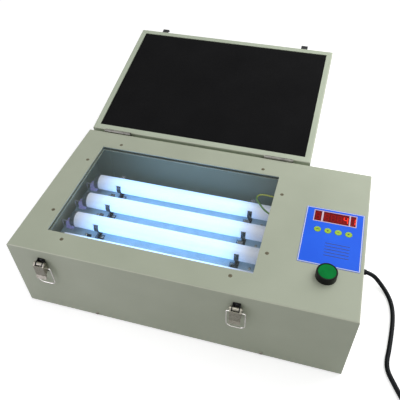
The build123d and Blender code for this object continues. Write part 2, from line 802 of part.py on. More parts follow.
# The green and yellow earth wire runs from the partition over the rear lamp and back.
with BuildPart() as earth_wire:
    with BuildLine() as earth_route:
        FilletPolyline(*[(left + x, front + y, base + z) for x, y, z in earth_points], radius=earth_radii)
    with BuildSketch(Plane(earth_route.line @ 0, z_dir=earth_route.line % 0)):
        Circle(earth_diameter / 2)
    sweep()
save(earth_wire, "earth_wire")

# =========================================================================== electronics bay
with BuildPart() as partition_wall:
    partition_depth = inner_depth - 2 * panel_sheet
    with BuildSketch(Plane.XY.offset(floor_z)):
        with Locations((partition_x + panel_sheet / 2, middle_y)):
            Rectangle(panel_sheet, partition_depth)
    extrude(amount=under_plate - floor_z)
    with BuildSketch(Plane.XY.offset(floor_z)):
        with Locations((partition_x + partition_foot / 2, middle_y)):
            Rectangle(partition_foot, partition_depth - 2 * corner_relief)
    extrude(amount=panel_sheet)
    with Locations(Plane(origin=(partition_x, middle_y, floor_z + wire_hole_height), z_dir=(-1, 0, 0))):
        Hole(wire_hole / 2, depth=2 * panel_sheet)
save(partition_wall, "partition_wall")

board_z = under_plate - board_depth_below    # upper face of the timer board
board_width = label_width - 2 * board_inset
board_length = label_depth - 2 * board_inset

with BuildPart() as timer_board:
    with BuildSketch(Plane.XY.offset(board_z)):
        with Locations((label_x, label_y)):
            RectangleRounded(board_width, board_length, board_corner)
    extrude(amount=-board_thickness)
save(timer_board, "timer_board")

with BuildPart() as board_spacers:
    with BuildSketch(Plane.XY.offset(board_z)):
        with Locations((label_x, label_y)):
            with GridLocations(board_width - spacer_diameter, board_length - spacer_diameter, 2, 2):
                Circle(spacer_diameter / 2)
    extrude(amount=board_depth_below)
save(board_spacers, "board_spacers")

with BuildPart() as display_filter:
    with BuildSketch(Plane.XY.offset(top)):
        with Locations((display_x, display_y)):
            Rectangle(display_width - 2 * filter_play, display_depth - 2 * filter_play)
    extrude(amount=-sheet)
    with BuildSketch(Plane.XY.offset(under_plate)):
        with Locations((display_x, display_y)):
            Rectangle(display_width + 2 * filter_flange, display_depth + 2 * filter_flange)
    extrude(amount=-filter_flange_thickness)
save(display_filter, "display_filter")

with BuildPart() as led_display:
    with BuildSketch(Plane.XY.offset(board_z)):
        for start, end in display_windows:
            with Locations((left + display_left + (start + end) / 2, display_y)):
                Rectangle(end - start, display_depth)
    extrude(amount=board_depth_below - filter_flange_thickness)
save(led_display, "led_display")

key_under = under_plate - key_play - key_flange_thickness    # lower face of the keys
switch_top = key_under - key_travel - key_play
with BuildPart() as key_switches:
    with BuildSketch(Plane.XY.offset(board_z)):
        with Locations(*[(x, key_y) for x in key_xs]):
            Rectangle(switch_body, switch_body)
    extrude(amount=switch_top - switch_plunger_height - board_z)
    with BuildSketch(Plane.XY.offset(switch_top)):
        with Locations(*[(x, key_y) for x in key_xs]):
            Circle(switch_plunger / 2)
    extrude(amount=-switch_plunger_height)
save(key_switches, "key_switches")

with BuildPart() as control_label:
    with BuildSketch(Plane.XY.offset(top)):
        with Locations((label_x, label_y)):
            RectangleRounded(label_width, label_depth, label_corner)
        for start, end in display_windows:
            with Locations((left + display_left + (start + end) / 2, display_y)):
                Rectangle(end - start, display_depth, mode=Mode.SUBTRACT)
        with Locations(*[(x, key_y) for x in key_xs]):
            Circle(key_diameter / 2 + key_clearance, mode=Mode.SUBTRACT)
    extrude(amount=label_thickness)
save(control_label, "control_label")

for number, key_x in enumerate(key_xs, start=1):
    with BuildPart() as set_key:
        with BuildSketch(Plane.XY.offset(key_under)):
            with Locations((key_x, key_y)):
                Circle(key_flange / 2)
        extrude(amount=key_flange_thickness)
        with BuildSketch(Plane.XY.offset(key_under)):
            with Locations((key_x, key_y)):
                Circle(key_diameter / 2)
        extrude(amount=label_z + key_proud - key_under)
        fillet(set_key.edges().group_by(Axis.Z)[-1], key_edge)
    save(set_key, "set_key_" + str(number))

# --------------------------------------------------------------------------- start button
button_axis = Axis((*button_at, 0), (0, 0, 1))
button_plane = Plane(origin=(*button_at, 0), x_dir=(1, 0, 0), z_dir=(0, -1, 0))
barrel_radius = button_hole / 2 - barrel_play
cup_radius = bezel_diameter / 2 - bezel_wall
cap_radius = cup_radius - cap_clearance
cap_top = top + bezel_height - cap_recess
cap_under = cap_top - cap_thickness
cup_floor = cap_under - button_travel - cap_clearance
barrel_end = top - barrel_length
stem_radius = stem_diameter / 2
stem_end = barrel_end - stem_reach

with BuildPart() as start_button_bezel:
    with BuildSketch(button_plane):
        with BuildLine():
            Polyline(
                (stem_radius + cap_clearance, barrel_end),
                (barrel_radius, barrel_end),
                (barrel_radius, top),
                (bezel_diameter / 2, top),
                (bezel_diameter / 2, top + bezel_height),
                (cup_radius, top + bezel_height),
                (cup_radius, cup_floor),
                (stem_radius + cap_clearance, cup_floor),
                close=True,
            )
        make_face()
    revolve(axis=button_axis)
    rim_edges = start_button_bezel.edges().filter_by(GeomType.CIRCLE).group_by(Axis.Z)[-1]
    fillet(rim_edges.sort_by(SortBy.RADIUS)[-1], bezel_edge)
save(start_button_bezel, "start_button_bezel")

with BuildPart() as start_button_cap:
    with BuildSketch(button_plane):
        with BuildLine():
            Polyline(
                (0, stem_end),
                (stem_radius, stem_end),
                (stem_radius, cap_under),
                (cap_radius, cap_under),
                (cap_radius, cap_top),
                (0, cap_top),
                close=True,
            )
        make_face()
    revolve(axis=button_axis)
    fillet(start_button_cap.edges().group_by(Axis.Z)[-1], cap_rounding)
save(start_button_cap, "start_button_cap")

with BuildPart() as start_button_nut:
    with BuildSketch(Plane.XY.offset(under_plate)):
        with Locations(button_at):
            RegularPolygon(nut_width / 2, 6, major_radius=False)
            Circle(barrel_radius, mode=Mode.SUBTRACT)
    extrude(amount=-nut_height)
save(start_button_nut, "start_button_nut")

with BuildPart() as start_button_body:
    with BuildSketch(Plane.XY.offset(barrel_end)):
        with Locations(button_at):
            RectangleRounded(contact_width, contact_width, board_corner)
    extrude(amount=-contact_height)
    with Locations((*button_at, barrel_end)):
        Hole(stem_radius + 2 * cap_clearance, depth=stem_reach + 2 * button_travel)
save(start_button_body, "start_button_body")

# =========================================================================== hinges
# Each hinge has a leaf on the housing with two outer knuckles, a leaf on the lid with the
# middle one between them, and a pin with a head at each end.
knuckle_radius = hinge_barrel / 2
bore_radius = hinge_pin_diameter / 2 + hinge_running_clearance
leaf_height = leaf_drop - knuckle_radius - hinge_end_play
outer_knuckle = (hinge_length - hinge_knuckle - hinge_end_play) / 2
middle_knuckle = hinge_knuckle - hinge_end_play
neck_height = knuckle_radius + hinge_end_play


def hinge_leaf(above, knuckles, length, screws):
    """A leaf of both hinges on the back face, above or below the pin line.

    The knuckles are given by how far their middles stand from the middle of the hinge.
    """
    sign = 1 if above else -1
    with BuildPart() as leaves:
        with BuildSketch(facing_front(0, back, hinge_z)):
            for x in hinge_xs:
                with Locations((x, sign * (leaf_drop - leaf_height / 2))):
                    RectangleRounded(hinge_length, leaf_height, leaf_corner)
                with Locations(*[(x + offset, sign * (neck_height + leaf_corner) / 2) for offset in knuckles]):
                    Rectangle(length, neck_height + leaf_corner)
        extrude(amount=-leaf_thickness)
        for x in hinge_xs:
            for offset in knuckles:
                with BuildSketch(side_plane(x + offset - length / 2)):
                    with Locations((hinge_y, hinge_z)):
                        Circle(knuckle_radius)
                extrude(amount=length)
        with Locations(*[Plane(origin=(x + hinge_length, hinge_y, hinge_z), z_dir=(1, 0, 0)) for x in hinge_xs]):
            Hole(bore_radius, depth=2 * hinge_length)
        with Locations(*screws):
            Hole(bolt_hole, depth=2 * leaf_thickness, mode=Mode.SUBTRACT)
        with Locations(*[plane.offset(leaf_thickness) for plane in screws]):
            Hole(bolt_hole, depth=2 * leaf_thickness)
    return leaves


outer_offset = (hinge_length - outer_knuckle) / 2
save(hinge_leaf(False, (-outer_offset, outer_offset), outer_knuckle, box_hinge_screws_at), "hinge_box_leaves")

with BuildPart() as hinge_pins:
    for x in hinge_xs:
        with BuildSketch(side_plane(x - hinge_length / 2)):
            with Locations((hinge_y, hinge_z)):
                Circle(hinge_pin_diameter / 2)
        extrude(amount=hinge_length)
        for side in (-1, 1):
            with BuildSketch(side_plane(x + side * hinge_length / 2)):
                with Locations((hinge_y, hinge_z)):
                    Circle(hinge_pin_head / 2)
            extrude(amount=side * pin_head_height)
save(hinge_pins, "hinge_pins")

leaf_screw = pan_head_screw(leaf_thickness + sheet + screw_reach)
with BuildPart() as hinge_box_screws:
    with Locations(*[plane.offset(leaf_thickness) for plane in box_hinge_screws_at]):
        add(leaf_screw)
save(hinge_box_screws, "hinge_box_screws")

# =========================================================================== draw latches
# A base riveted to the front wall carries a lever on a sleeved pin. The lever carries a wire
# bail, which hooks over the keeper on the lid and is drawn tight as the lever goes down.
base_ear_radius = lever_plate_reach - 1.5 * latch_clearance
ear_inner = latch_base_width / 2 - latch_sheet
lever_ear_inner = latch_base_width / 2 + latch_clearance
lever_half = lever_width / 2

with BuildPart() as latch_bases:
    for x in latch_xs.values():
        with BuildSketch(facing_front(x, front, base + (latch_base_low + latch_base_high) / 2)):
            RectangleRounded(latch_base_width, latch_base_high - latch_base_low, latch_corner)
        extrude(amount=sheet)
        for side in (-1, 1):
            with BuildSketch(side_plane(x + side * ear_inner)):
                with Locations((pivot_y, pivot_z)):
                    Circle(base_ear_radius)
                with Locations(((pivot_y + front) / 2, pivot_z)):
                    Rectangle(pivot_reach, 2 * base_ear_radius)
            extrude(amount=side * latch_sheet)
    with Locations(*[Plane(origin=(x + latch_base_width, pivot_y, pivot_z), z_dir=(1, 0, 0)) for x in latch_xs.values()]):
        Hole(latch_pin_diameter / 2, depth=2 * latch_base_width)
    with Locations(*[plane.offset(sheet) for plane in latch_rivets_at]):
        Hole(bolt_hole, depth=2 * sheet)
save(latch_bases, "latch_bases")

base_rivet = rivet(2 * sheet)
with BuildPart() as latch_rivets:
    with Locations(*[plane.offset(sheet) for plane in latch_rivets_at]):
        add(base_rivet)
save(latch_rivets, "latch_rivets")

with BuildPart() as latch_pins:
    for x in latch_xs.values():
        with BuildSketch(side_plane(x - lever_half - pin_end_play)):
            with Locations((pivot_y, pivot_z)):
                Circle(latch_pin_diameter / 2)
        extrude(amount=lever_width + 2 * pin_end_play)
        with BuildSketch(side_plane(x - ear_inner + ear_play)):
            with Locations((pivot_y, pivot_z)):
                Circle(latch_sleeve / 2)
        extrude(amount=2 * (ear_inner - ear_play))
        for side in (-1, 1):
            with BuildSketch(side_plane(x + side * (lever_half + pin_end_play))):
                with Locations((pivot_y, pivot_z)):
                    Circle(latch_pin_head / 2)
            extrude(amount=side * pin_head_height)
save(latch_pins, "latch_pins")

plate_y = pivot_y - lever_plate_reach        # inner face of the lever's plate
lever_ear_radius = lever_plate_reach - 2.5 * latch_clearance
bail_side = (bail_width - bail_wire) / 2

for side_name, latch_x in latch_xs.items():
    with BuildPart() as lever:
        with BuildSketch(side_plane(latch_x - lever_half)):
            with BuildLine():
                low = base + lever_low
                Polyline(
                    (plate_y, pivot_z),
                    (plate_y, low + lever_flare),
                    (plate_y - lever_tip_bend, low),
                    (plate_y - lever_tip_bend - latch_sheet, low + lever_tip_rise),
                    (plate_y - latch_sheet, low + lever_flare + lever_tip_rise),
                    (plate_y - latch_sheet, pivot_z),
                    close=True,
                )
            make_face()
        extrude(amount=lever_width)
        for side in (-1, 1):
            with BuildSketch(side_plane(latch_x + side * lever_half)):
                with Locations((pivot_y, pivot_z), (bail_y, bail_z)):
                    Circle(lever_ear_radius)
                with Locations((plate_y - latch_sheet / 2, (pivot_z + bail_z - lever_ear_skirt) / 2)):
                    Rectangle(latch_sheet, pivot_z - bail_z + lever_ear_skirt)
                make_hull()
            extrude(amount=-side * (lever_half - lever_ear_inner))
        far_x = latch_x + lever_width
        with Locations(Plane(origin=(far_x, pivot_y, pivot_z), z_dir=(1, 0, 0))):
            Hole(latch_pin_diameter / 2 + screw_clearance, depth=2 * lever_width)
        with Locations(Plane(origin=(far_x, bail_y, bail_z), z_dir=(1, 0, 0))):
            Hole(bail_wire / 2 + screw_clearance, depth=2 * lever_width)
    save(lever, "latch_" + side_name + "_lever")

    with BuildPart() as bail:
        with BuildLine() as bail_line:
            FilletPolyline(
                (latch_x - lever_ear_inner - bail_end_play, bail_y, bail_z),
                (latch_x - bail_side, bail_y, bail_z),
                (latch_x - bail_side, bail_y, bail_z - bail_length),
                (latch_x + bail_side, bail_y, bail_z - bail_length),
                (latch_x + bail_side, bail_y, bail_z),
                (latch_x + lever_ear_inner + bail_end_play, bail_y, bail_z),
                radius=(bail_end_bend, bail_corner, bail_corner, bail_end_bend),
            )
        with BuildSketch(Plane(bail_line.line @ 0, z_dir=bail_line.line % 0)):
            Circle(bail_wire / 2)
        sweep()
    save(bail, "latch_" + side_name + "_bail")

# =========================================================================== lid
# The lid is drawn closed on the housing and turned open about the hinge line.
hinge_line = Axis((0, hinge_y, hinge_z), (-1, 0, 0))
lid_x = left + lid_left + lid_width / 2
lid_front = back - lid_depth
lid_y = (lid_front + back) / 2
shelf_top = bail_z + bail_length - bail_wire / 2 - latch_clearance
keeper_front = front - keeper_reach
keeper_rivets_at = [
    facing_front(x + side * keeper_rivet_spacing / 2, lid_front, shelf_top + keeper_rivet_rise)
    for x in latch_xs.values() for side in (-1, 1)
]

with BuildPart() as lid_tray:
    with BuildSketch(Plane.XY.offset(rim_z)):
        with Locations((lid_x, lid_y)):
            Rectangle(lid_width, lid_depth)
    extrude(amount=lid_height)
    lid_levels = lid_tray.edges().group_by(Axis.Z)
    fillet(lid_levels[0] + lid_levels[-1], bend_radius)
    with BuildSketch(Plane.XY.offset(rim_z + lid_sheet)):
        with Locations((lid_x, lid_y)):
            Rectangle(lid_width - 2 * lid_sheet, lid_depth - 2 * lid_sheet)
    extrude(amount=lid_height - 2 * lid_sheet, mode=Mode.SUBTRACT)
    with BuildSketch(Plane.XY.offset(rim_z)):
        with Locations((lid_x, lid_y)):
            Rectangle(lid_width - 2 * lid_rim, lid_depth - 2 * lid_rim)
    extrude(amount=lid_sheet, mode=Mode.SUBTRACT)
    with Locations(*lid_hinge_screws_at, *keeper_rivets_at):
        Hole(bolt_hole, depth=2 * lid_sheet)
save_turned(lid_tray, "lid_tray", hinge_line, lid_open_angle)

with BuildPart() as lid_foam:
    with BuildSketch(Plane.XY.offset(rim_z + lid_height - lid_sheet)):
        with Locations((lid_x, lid_y)):
            Rectangle(lid_width - 2 * lid_rim - 2 * foam_gap, lid_depth - 2 * lid_rim - 2 * foam_gap)
    extrude(amount=-(lid_height - lid_sheet - foam_recess))
    fillet(lid_foam.edges().group_by(Axis.Z)[0], foam_edge)
save_turned(lid_foam, "lid_foam", hinge_line, lid_open_angle)

save_turned(hinge_leaf(True, (0,), middle_knuckle, lid_hinge_screws_at), "hinge_lid_leaves", hinge_line, lid_open_angle)

lid_screw = pan_head_screw(leaf_thickness + lid_sheet + screw_reach)
with BuildPart() as hinge_lid_screws:
    with Locations(*[plane.offset(leaf_thickness) for plane in lid_hinge_screws_at]):
        add(lid_screw)
save_turned(hinge_lid_screws, "hinge_lid_screws", hinge_line, lid_open_angle)

with BuildPart() as lid_strikes:
    for x in latch_xs.values():
        with BuildSketch(side_plane(x - keeper_width / 2)):
            with BuildLine():
                Polyline(
                    (lid_front, shelf_top - latch_sheet),
                    (lid_front, shelf_top - latch_sheet + keeper_height),
                    (lid_front - latch_sheet, shelf_top - latch_sheet + keeper_height),
                    (lid_front - latch_sheet, shelf_top),
                    (keeper_front + latch_sheet, shelf_top),
                    (keeper_front + latch_sheet, shelf_top + keeper_lip),
                    (keeper_front, shelf_top + keeper_lip),
                    (keeper_front, shelf_top - latch_sheet),
                    close=True,
                )
            make_face()
        extrude(amount=keeper_width)
    with Locations(*[plane.offset(latch_sheet) for plane in keeper_rivets_at]):
        Hole(bolt_hole, depth=2 * latch_sheet)
save_turned(lid_strikes, "lid_strikes", hinge_line, lid_open_angle)

keeper_rivet = rivet(latch_sheet + lid_sheet)
with BuildPart() as strike_rivets:
    with Locations(*[plane.offset(latch_sheet) for plane in keeper_rivets_at]):
        add(keeper_rivet)
save_turned(strike_rivets, "strike_rivets", hinge_line, lid_open_angle)

# =========================================================================== mains cord
# The gland clamps in the right wall; its tapered sleeve ends where the cord begins.
gland_x, gland_line_y, gland_z = gland_at
gland_axis = Axis((0, gland_line_y, gland_z), (1, 0, 0))
cord_radius = cord_diameter / 2
relief_end = gland_x + relief_length

with BuildPart() as cord_gland:
    with BuildSketch(Plane(origin=(0, gland_line_y, gland_z), x_dir=(1, 0, 0), z_dir=(0, -1, 0))):
        with BuildLine():
            Polyline(
                (gland_x - sheet - gland_nut, 0),
                (gland_x - sheet - gland_nut, gland_flange / 2),
                (gland_x - sheet, gland_flange / 2),
                (gland_x - sheet, gland_shank / 2),
                (gland_x, gland_shank / 2),
                (gland_x, gland_flange / 2),
                (gland_x + gland_rim, gland_flange / 2),
                (gland_x + gland_rim, relief_root / 2),
                (relief_end, cord_radius + relief_wall),
                (relief_end, 0),
                close=True,
            )
        make_face()
    revolve(axis=gland_axis)
save(cord_gland, "cord_gland")


def corner_radii(points):
    """The largest radius that the two runs at each inner point allow."""
    radii = []
    for before, here, after in zip(points, points[1:], points[2:]):
        arriving = Vector(*here) - Vector(*before)
        leaving = Vector(*after) - Vector(*here)
        turn = radians(arriving.get_angle(leaving))
        radii.append(0.45 * min(arriving.length, leaving.length) / tan(turn / 2))
    return radii


# The coil starts where the route along the floor ends.
entry = radians(coil_entry_angle)
coil_start = Vector(
    left + coil_centre[0] + coil_radius * cos(entry),
    front + coil_centre[1] + coil_radius * sin(entry),
    cord_radius,
)
coil_heading = Vector(-sin(entry), cos(entry), 0)
coil_lead_in = coil_start - coil_heading * cord_diameter

cord_points = [(relief_end, gland_line_y, gland_z)]
cord_points += [(left + x, front + y, z) for x, y, z in cord_floor_points]
cord_points += [tuple(coil_lead_in - coil_heading * cord_last_run), tuple(coil_lead_in)]
cord_radii = corner_radii(cord_points)
print("cord radii, mm:", [round(radius, 1) for radius in cord_radii])

with BuildPart() as power_cord:
    with BuildLine() as cord_route:
        FilletPolyline(*cord_points, radius=cord_radii)
    with BuildSketch(Plane(cord_route.line @ 0, z_dir=cord_route.line % 0)):
        Circle(cord_radius)
    sweep()
save(power_cord, "power_cord")
cord_length = cord_route.wire().length
print("cord volume over section times length:",
      round(power_cord.part.volume / (pi * cord_radius**2 * cord_length), 4))

# Two layers of loops: in from the outside, up a layer, and out again, each half turn an arc.
layer_radii = [coil_radius - n * coil_step / 2 for n in range(coil_half_turns)]
half_turns = [(radius, 0) for radius in layer_radii]
half_turns += [(layer_radii[-1] - coil_step / 2, coil_step)]
half_turns += [(radius, 0) for radius in reversed(layer_radii)]

with BuildPart() as cord_coil:
    with BuildLine() as coil_line:
        here = coil_start
        heading = coil_heading
        Line(coil_lead_in, here)
        for radius, climb in half_turns:
            inward = Vector(-heading.Y, heading.X, 0)
            there = here + inward * (2 * radius) + Vector(0, 0, climb)
            span = (there - here).length / 2
            ThreePointArc(here, (here + there) * 0.5 + heading * span, there)
            here = there
            heading = heading * -1
        Line(here, here + heading * coil_lead_out)
    with BuildSketch(Plane(coil_lead_in, z_dir=coil_heading)):
        RegularPolygon(cord_radius, coil_facets)
    sweep()
save(cord_coil, "cord_coil")
coil_end = here + heading * coil_lead_out


def least_gap(line, diameter, step):
    """The least distance between two stretches of a line, less the diameter wound on it."""
    count = int(line.length / step)
    points = [tuple(line @ (n / count)) for n in range(count + 1)]
    apart = int(3 * diameter / step)
    return min(
        dist(points[a], points[b])
        for a in range(count + 1) for b in range(a + apart, count + 1)
    ) - diameter


coil_wire = coil_line.wire()
print("coil length, mm:", round(coil_wire.length), "route, mm:", round(cord_length))
print("least gap in the coil, mm:", round(least_gap(coil_wire, cord_diameter, coil_check_step), 2))

with BuildPart() as mains_plug:
    plug_plane = Plane(coil_end, x_dir=(heading.Y, -heading.X, 0), z_dir=heading)
    with BuildSketch(plug_plane):
        RectangleRounded(plug_throat, plug_throat, plug_throat / 4)
    with BuildSketch(plug_plane.offset(plug_length * 0.45)):
        RectangleRounded(plug_width, 2 * coil_end.Z, plug_throat / 4)
    loft()
    with BuildSketch(plug_plane.offset(plug_length * 0.45)):
        RectangleRounded(plug_width, 2 * coil_end.Z, plug_throat / 4)
    extrude(amount=plug_length * 0.55)
    with BuildSketch(plug_plane.offset(plug_length)):
        with GridLocations(plug_pin_spacing, 0, 2, 1):
            Circle(plug_pin_diameter / 2)
    extrude(amount=plug_pin_length)
save(mains_plug, "mains_plug")
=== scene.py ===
# %% [markdown]
# # A tabletop exposure unit for screen printing
# The unit is a folded steel box. Four lamps shine up through a glass window, and a lid with a foam
# pad presses the screen onto the glass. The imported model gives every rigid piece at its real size.
# This script dresses that frame: it gives each piece the finish of the real material, and makes
# what a solid modeller leaves plain, such as the foam, the mains cord, the drive recesses of the
# screws and the print on the label.

# %% The frame
import json
import math

import bmesh
import bpy
from mathutils import Matrix, Vector


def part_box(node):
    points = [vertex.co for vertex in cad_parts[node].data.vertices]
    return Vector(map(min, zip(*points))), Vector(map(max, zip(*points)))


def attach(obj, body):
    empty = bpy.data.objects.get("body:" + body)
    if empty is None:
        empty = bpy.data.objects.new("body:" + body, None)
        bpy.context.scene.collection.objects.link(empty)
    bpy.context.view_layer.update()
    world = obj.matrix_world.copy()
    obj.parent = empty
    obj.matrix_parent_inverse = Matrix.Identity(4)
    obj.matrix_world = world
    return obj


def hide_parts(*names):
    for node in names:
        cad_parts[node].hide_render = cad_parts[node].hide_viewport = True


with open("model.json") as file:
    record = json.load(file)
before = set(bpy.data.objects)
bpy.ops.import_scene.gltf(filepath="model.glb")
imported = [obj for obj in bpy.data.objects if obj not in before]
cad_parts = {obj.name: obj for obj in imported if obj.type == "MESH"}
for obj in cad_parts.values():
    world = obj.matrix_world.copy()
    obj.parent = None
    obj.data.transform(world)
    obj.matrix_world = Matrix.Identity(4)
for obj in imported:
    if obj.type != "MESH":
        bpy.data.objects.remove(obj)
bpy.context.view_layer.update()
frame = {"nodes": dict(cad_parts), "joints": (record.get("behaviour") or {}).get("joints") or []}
nodes = frame["nodes"]
MM = 0.001
print("nodes in the frame:", len(nodes))

# %% [markdown]
# ## Datum planes
# Blender works in metres from one origin, and a drawing of the unit works in millimetres from its
# walls. Places could be typed in metres, but then nobody could check them with a ruler. So every
# place here is in millimetres from the housing's left wall, its front wall and the walls' lower edge.

# %% Datum planes
shell_low, shell_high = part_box("housing_shell")
LEFT, FRONT, BASE = shell_low


def at(x, y, z):
    """A point given in millimetres from the left wall, the front wall and the walls' lower edge."""
    return Vector((LEFT + x * MM, FRONT + y * MM, BASE + z * MM))


print("housing:", [round(side / MM, 1) for side in shell_high - shell_low], "mm")

# %% [markdown]
# ## Camera
# A camera can be set by eye, but then the object never quite fits its picture. This one was solved
# instead: the corners of the housing, the window and the lid gave its place, its aim and its lens.
# It looks down at about 45 degrees from a little right of the middle, and is rolled by one degree.
# The small shift is there because the picture was cropped off centre.

# %% Camera
CAMERA_PLACE = (417.35, -363.14, 689.44)
CAMERA_TARGET = (245.12, 220.59, 69.36)
CAMERA_ROLL = -0.021
SENSOR_WIDTH = 36.0
LENS = 44.9
SHIFT_X, SHIFT_Y = -0.0282, 0.0069
NEAREST_SEEN = 0.01

camera = bpy.data.objects.new("camera", bpy.data.cameras.new("camera"))
bpy.context.scene.collection.objects.link(camera)
camera.data.sensor_width = SENSOR_WIDTH
camera.data.lens = LENS
camera.data.shift_x, camera.data.shift_y = SHIFT_X, SHIFT_Y
camera.data.clip_start = NEAREST_SEEN
sight = (at(*CAMERA_TARGET) - at(*CAMERA_PLACE)).normalized()
level_right = sight.cross(Vector((0, 0, 1))).normalized()
level_up = level_right.cross(sight)
right = level_right * math.cos(CAMERA_ROLL) + level_up * math.sin(CAMERA_ROLL)
up = level_up * math.cos(CAMERA_ROLL) - level_right * math.sin(CAMERA_ROLL)
turn = Matrix((right, up, -sight)).transposed().to_4x4()
camera.matrix_world = Matrix.Translation(at(*CAMERA_PLACE)) @ turn
bpy.context.scene.camera = camera
print("camera at", [round(v, 3) for v in camera.location])

# %% [markdown]
# ## Studio
# The photograph is a cut-out on white, lit evenly. Strong lamps on a white sheet would bleach the
# pale paint, so the light stays low and only what the eye sees of the background is white. The world
# is dim for light and white for the camera, for gloss and for glass. Light Path tells them apart.

# %% Node helper and world
SKY_STRENGTH = 0.27


def node(tree, kind, links=None, **settings):
    """Add a node, set its settings, and link or set its inputs by name or number."""
    made = tree.nodes.new(kind)
    for name, value in settings.items():
        setattr(made, name, value)
    for name, value in (links or {}).items():
        if isinstance(value, bpy.types.NodeSocket):
            tree.links.new(value, made.inputs[name])
        else:
            made.inputs[name].default_value = value
    return made


world = bpy.data.worlds.new("studio")
bpy.context.scene.world = world
world.use_nodes = True
sky = world.node_tree
sky.nodes.clear()
path = node(sky, "ShaderNodeLightPath")
seen = node(sky, "ShaderNodeMath",
            {0: path.outputs["Is Camera Ray"], 1: path.outputs["Is Glossy Ray"]}, operation="MAXIMUM")
seen_through = node(sky, "ShaderNodeMath",
                    {0: seen.outputs[0], 1: path.outputs["Is Transmission Ray"]}, operation="MAXIMUM")
strength = node(sky, "ShaderNodeMapRange",
                {"Value": seen_through.outputs[0], "To Min": SKY_STRENGTH, "To Max": 1.0})
backdrop = node(sky, "ShaderNodeBackground", {"Color": (1, 1, 1, 1), "Strength": strength.outputs[0]})
node(sky, "ShaderNodeOutputWorld", {"Surface": backdrop.outputs[0]})
bpy.context.scene.view_settings.view_transform = "Standard"
print("world gives", SKY_STRENGTH, "of its white as light")

# %% [markdown]
# A world alone leaves every side the same. One very broad sun from above makes the top brighter than
# the walls and keeps its shadow soft. Two small softboxes do what a sun can't: the high one at the
# right back lights the foam and the lid's edge, and the low one at the left front, tinted a little
# to violet, draws a gleam on the latches and the front wall.

# %% Sun and softboxes
SUN_STRENGTH = 0.9
SUN_ANGLE = math.radians(60)
SUN_TILT = (math.radians(4), math.radians(13), 0)
SOFTBOX_SIZE = 0.7
SOFTBOX_TARGET = (250, 140, 70)
SOFTBOXES = (("high_softbox", (820, 560, 620), 3.2, (1, 1, 1)),
             ("low_softbox", (-400, -460, 220), 1.8, (1.02, 0.95, 1.14)))

sun = bpy.data.objects.new("sun", bpy.data.lights.new("sun", "SUN"))
sun.data.energy = SUN_STRENGTH
sun.data.angle = SUN_ANGLE
sun.rotation_euler = SUN_TILT
bpy.context.scene.collection.objects.link(sun)
for name, place, power, tint in SOFTBOXES:
    light = bpy.data.lights.new(name, "AREA")
    light.size = SOFTBOX_SIZE
    light.energy = power
    light.color = tint
    softbox = bpy.data.objects.new(name, light)
    softbox.location = at(*place)
    softbox.visible_camera = False
    aim = at(*SOFTBOX_TARGET) - at(*place)
    softbox.rotation_euler = aim.to_track_quat("-Z", "Y").to_euler()
    bpy.context.scene.collection.objects.link(softbox)
print("lights:", 1 + len(SOFTBOXES))

# %% [markdown]
# The floor is a sheet of matt white paper. Lit at this low level it would come out grey, and more
# light would bleach the unit. So it is lifted to white for the camera alone: it still takes the
# unit's shadow, and throws no more light back on the walls than real paper does.

# %% Floor
FLOOR_SIZE = 6.0
FLOOR_LIFT = 0.56
PAPER = "#E6E6E6"


def colour(code):
    """A linear colour from an sRGB hex value."""
    parts = [int(code[n:n + 2], 16) / 255 for n in (1, 3, 5)]
    linear = [p / 12.92 if p <= 0.04045 else ((p + 0.055) / 1.055) ** 2.4 for p in parts]
    return (*linear, 1.0)


floor_mesh = bpy.data.meshes.new("floor")
half = FLOOR_SIZE / 2
floor_mesh.from_pydata([(-half, -half, 0), (half, -half, 0), (half, half, 0), (-half, half, 0)], [],
                       [(0, 1, 2, 3)])
floor = bpy.data.objects.new("floor", floor_mesh)
bpy.context.scene.collection.objects.link(floor)
floor_paint = bpy.data.materials.new("matte_white_paper")
floor_paint.use_nodes = True
paper = floor_paint.node_tree
paper.nodes.clear()
path = node(paper, "ShaderNodeLightPath")
matte = node(paper, "ShaderNodeBsdfDiffuse", {"Color": colour(PAPER)})
lift = node(paper, "ShaderNodeEmission", {"Strength": FLOOR_LIFT})
lifted = node(paper, "ShaderNodeAddShader", {0: matte.outputs[0], 1: lift.outputs[0]})
shown = node(paper, "ShaderNodeMixShader",
             {0: path.outputs["Is Camera Ray"], 1: matte.outputs[0], 2: lifted.outputs[0]})
node(paper, "ShaderNodeOutputMaterial", {"Surface": shown.outputs[0]})
floor_mesh.materials.append(floor_paint)
print("floor lifted by", FLOOR_LIFT)

# %% [markdown]
# ## Mains cord
# A black rubber lead leaves the gland low on the right wall, droops to the table and wanders to the
# front. It could be drawn as a tube with bends, but rubber has no corners. So its line is one smooth
# spline, and the points here are the few that pull it along the solid model's route.

# %% Route from the gland to the coil
CORD_DIAMETER = 7.0
CORD_LEVEL = 0.5             # its middle on the table, from the walls' lower edge
GLAND_PLACE = (521.0, 177.5, 20.0)
FLOOR_POINTS = (
    (532.0, 177.0, 18.5), (545.5, 172.5, 7.0), (556.5, 162.5, 1.0), (564.5, 146.5, 0.5),
    (568.7, 127.0, 0.5), (569.2, 104.0, 0.5), (567.2, 78.0, 0.5), (564.8, 54.0, 0.5),
    (562.2, 37.0, 0.5), (563.8, 22.0, 0.5), (571.5, 7.5, 0.5),
)
COIL_CENTRE = (637.0, -5.0)
COIL_RADIUS = 44.0           # of the outer turn's middle
COIL_ENTRY = math.radians(230)
LAST_RUN = 19.0              # straight, before it bends into the coil

